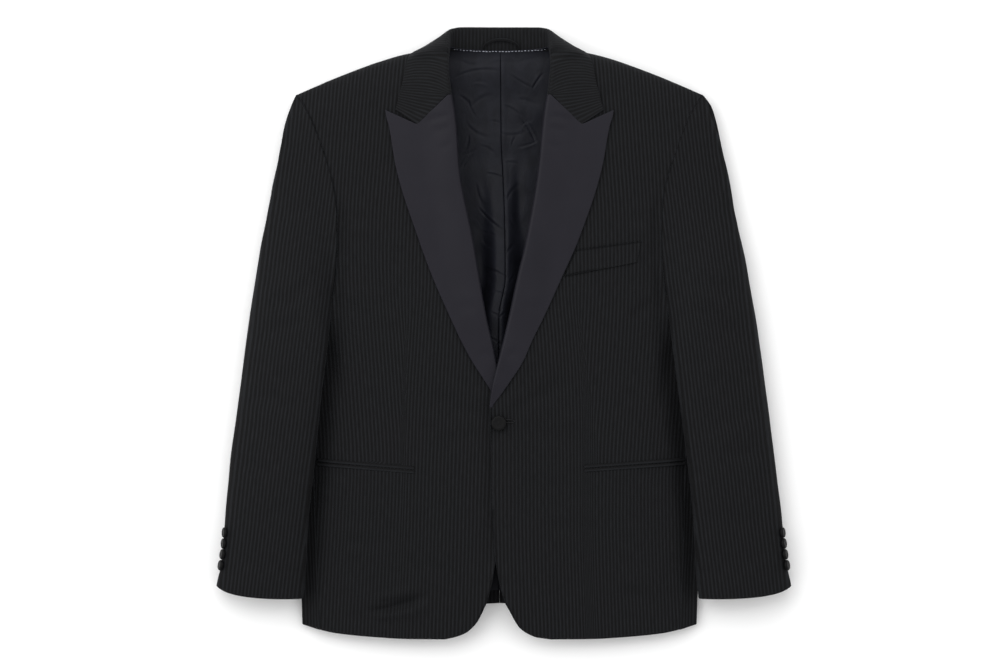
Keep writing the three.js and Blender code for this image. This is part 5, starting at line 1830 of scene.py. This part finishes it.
@dataclass
class Stitching:
    """Hand stitching: pale prick stitches along the neck of the lining, and the front buttonhole."""

    neck_pitch: float = 4.2
    neck_stitch: float = 2.5
    neck_reach_out: float = 60.0
    # radii of the threads
    thread: float = 0.42
    hole_thread: float = 0.6
    hole_ends: tuple = (1.0, 19.5)
    hole_y: float = 283.0
    hole_half: float = 2.0

    def tube(self, path: Grid, radius: float, closed: bool) -> tuple[Grid, list]:
        """Points and faces of a thread along a path, with narrowed ends.

        Args:
            path: points along the thread.
            radius: radius of the thread.
            closed: whether the thread runs round in a ring.

        Returns:
            The points and the faces.
        """
        ahead = np.roll(path, -1, 0) - np.roll(path, 1, 0)
        if not closed:
            ahead[0], ahead[-1] = path[1] - path[0], path[-1] - path[-2]
        ahead /= np.linalg.norm(ahead, axis=1, keepdims=True)
        up = np.array([0, 0, 1.0]) - ahead * ahead[:, 2:]
        up /= np.linalg.norm(up, axis=1, keepdims=True)
        beside = np.cross(ahead, up)
        turn = np.linspace(0, 2 * np.pi, 8, endpoint=False)
        share = np.ones(len(path)) if closed else np.sin(np.pi * np.linspace(0.04, 0.96, len(path))) ** 0.4
        rings = path[:, None] + radius * share[:, None, None] * (
            np.cos(turn)[None, :, None] * beside[:, None] + np.sin(turn)[None, :, None] * up[:, None]
        )
        faces, count = [], len(path)
        for i in range(count if closed else count - 1):
            a, b = 8 * i, 8 * ((i + 1) % count)
            faces += [(a + k, a + (k + 1) % 8, b + (k + 1) % 8, b + k) for k in range(8)]
        if not closed:
            faces += [tuple(range(7, -1, -1)), tuple(8 * (count - 1) + k for k in range(8))]
        return rings.reshape(-1, 3), faces

    def join(
        self, name: str, paths: list[Grid], radius: float, closed: bool, finish: ClothFinish, room: Workroom
    ) -> None:
        """Makes one piece of several threads.

        Args:
            name: name of the piece.
            paths: one path for each thread.
            radius: radius of the thread.
            closed: whether the thread runs round in a ring.
            finish: the finish.
            room: the workroom.
        """
        points, faces, start = [], [], 0
        for path in paths:
            more, quads = self.tube(path, radius, closed)
            points.append(more)
            faces += [tuple(start + k for k in quad) for quad in quads]
            start += len(more)
        piece = add_mesh(name, PLACE.metres(np.concatenate(points)), faces, room.cloth(finish))
        CoveredButtons.face_out(piece)
        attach(piece, "root")
        room.note(piece)

    def build(self, room: Workroom, lining_height: Callable[[Grid, Grid], Grid]) -> None:
        """Sews the neck stitches and the buttonhole.

        Args:
            room: the workroom.
            lining_height: height of the lining's face at a place in plan.
        """
        paths = []
        rng = np.random.default_rng(7)
        for start in np.arange(-self.neck_reach_out, self.neck_reach_out, self.neck_pitch):
            length = self.neck_stitch * rng.uniform(0.75, 1.3)
            x = start + rng.uniform(-0.3, 0.3) + length * np.linspace(0, 1, 7)
            y = NECK_BACK - 0.6 + 2.6 * (x / NECK_X) ** 2 + rng.uniform(-0.25, 0.25)
            arch = 0.35 * np.sin(np.pi * np.linspace(0, 1, 7))
            sunk = 0.5 * smooth((np.abs(x - 2) - 34) / 20)
            paths.append(np.stack([x, y, lining_height(x, y) + 0.15 + arch - sunk], -1))
        self.join("neck_prick_stitches", paths, self.thread, False, PALE_THREAD, room)
        near, far = self.hole_ends
        v = np.linspace(0, 2 * np.pi, 64, endpoint=False)
        x = mix(near, far, (1 - np.cos(v)) / 2)
        y = self.hole_y + self.hole_half * np.sin(v)
        path = BodyForm.above(LEFT, x, y, np.full(x.shape, 0.55))
        self.join("front_buttonhole", [path], self.hole_thread, True, BLACK_THREAD, room)


# ---- studio ----------------------------------------------------------------------------------------------
@dataclass
class Studio:
    """A white table seen from straight above, under three large soft lights and a pale surround."""

    camera_height: float = 5.0
    lens: float = 137.36
    aim: tuple[float, float] = (0.00015, -0.00415)
    table_half: float = 4.0
    table_shade: str = "#FBFBFB"
    surround: float = 0.7
    # name, place in metres, side in metres, watts
    lights: tuple = (
        ("right_light", (-2.3, 0.6, 2.1), 3.0, 42.0),
        ("left_light", (2.6, 0.4, 2.3), 2.8, 22.0),
        ("top_light", (-0.4, 2.2, 2.7), 3.6, 56.0),
    )

    def build(self) -> None:
        """Sets the table, the lights and the camera."""
        scene = bpy.context.scene
        scene.view_settings.view_transform = "Standard"
        self.table()
        for light in self.lights:
            self.light(*light)
        world = bpy.data.worlds.new("studio")
        world.use_nodes = True
        sky = world.node_tree.nodes["Background"]
        sky.inputs["Color"].default_value = (1, 1, 1, 1)
        sky.inputs["Strength"].default_value = self.surround
        scene.world = world
        camera = bpy.data.cameras.new("camera")
        camera.lens = self.lens
        camera.sensor_width = 36.0
        camera.clip_end = 20.0
        holder = bpy.data.objects.new("camera", camera)
        holder.location = (*self.aim, self.camera_height)
        scene.collection.objects.link(holder)
        scene.camera = holder

    def table(self) -> None:
        """The table top, in matt white paint."""
        size = self.table_half
        corners = np.array([(-size, -size, 0), (size, -size, 0), (size, size, 0), (-size, size, 0)], float)
        material = bpy.data.materials.new("matt_white_paint")
        material.use_nodes = True
        tree = material.node_tree
        shader = tree.nodes["Principled BSDF"]
        place = add_node(tree, "TexCoord").outputs["Object"]
        mottle = add_node(tree, "TexNoise", {"Scale": 3.0, "Detail": 2.0}, Vector=place)
        shade = add_node(tree, "MapRange", {"To Min": 0.99, "To Max": 1.01}, Value=mottle)
        paint = {"operation": "SCALE", 0: linear(self.table_shade)[:3]}
        tone = add_node(tree, "VectorMath", paint, Scale=shade)
        tree.links.new(tone.outputs[0], shader.inputs["Base Color"])
        shader.inputs["Roughness"].default_value = 0.9
        shader.inputs["Specular IOR Level"].default_value = 0.2
        add_mesh("table_top", corners, [(0, 1, 2, 3)], material)

    @staticmethod
    def light(name: str, place: tuple[float, float, float], size: float, power: float) -> None:
        """A square soft light that faces the jacket.

        Args:
            name: name of the piece.
            place: where it hangs, in metres.
            size: length of its side, in metres.
            power: its power, in watts.
        """
        lamp = bpy.data.lights.new(name, "AREA")
        lamp.size = size
        lamp.energy = power
        holder = bpy.data.objects.new(name, lamp)
        holder.location = place
        holder.rotation_euler = (-Vector(place)).to_track_quat("-Z", "Y").to_euler()
        bpy.context.scene.collection.objects.link(holder)


def main() -> None:
    """Sews the jacket piece by piece and sets the studio."""
    logging.basicConfig(level=logging.INFO, format="%(name)s: %(message)s")
    room = Workroom()
    lining = BackLining()
    for part in (Backs(), lining, Fronts(), SideBodies(), Sleeves(), Lapels(), Collar(), HangerLoop(),
                 Pockets(), CoveredButtons()):
        part.build(room)

    def lining_height(x: Grid, y: Grid) -> Grid:
        """Height of the lining's face."""
        return BodyForm.base(x, y) + CLOTH + AIR + LINING_CLOTH + lining.relief(x, y)

    Stitching().build(room, lining_height)
    Studio().build()
    log.info("%d pieces", room.count)


if __name__ == "__main__":
    main()
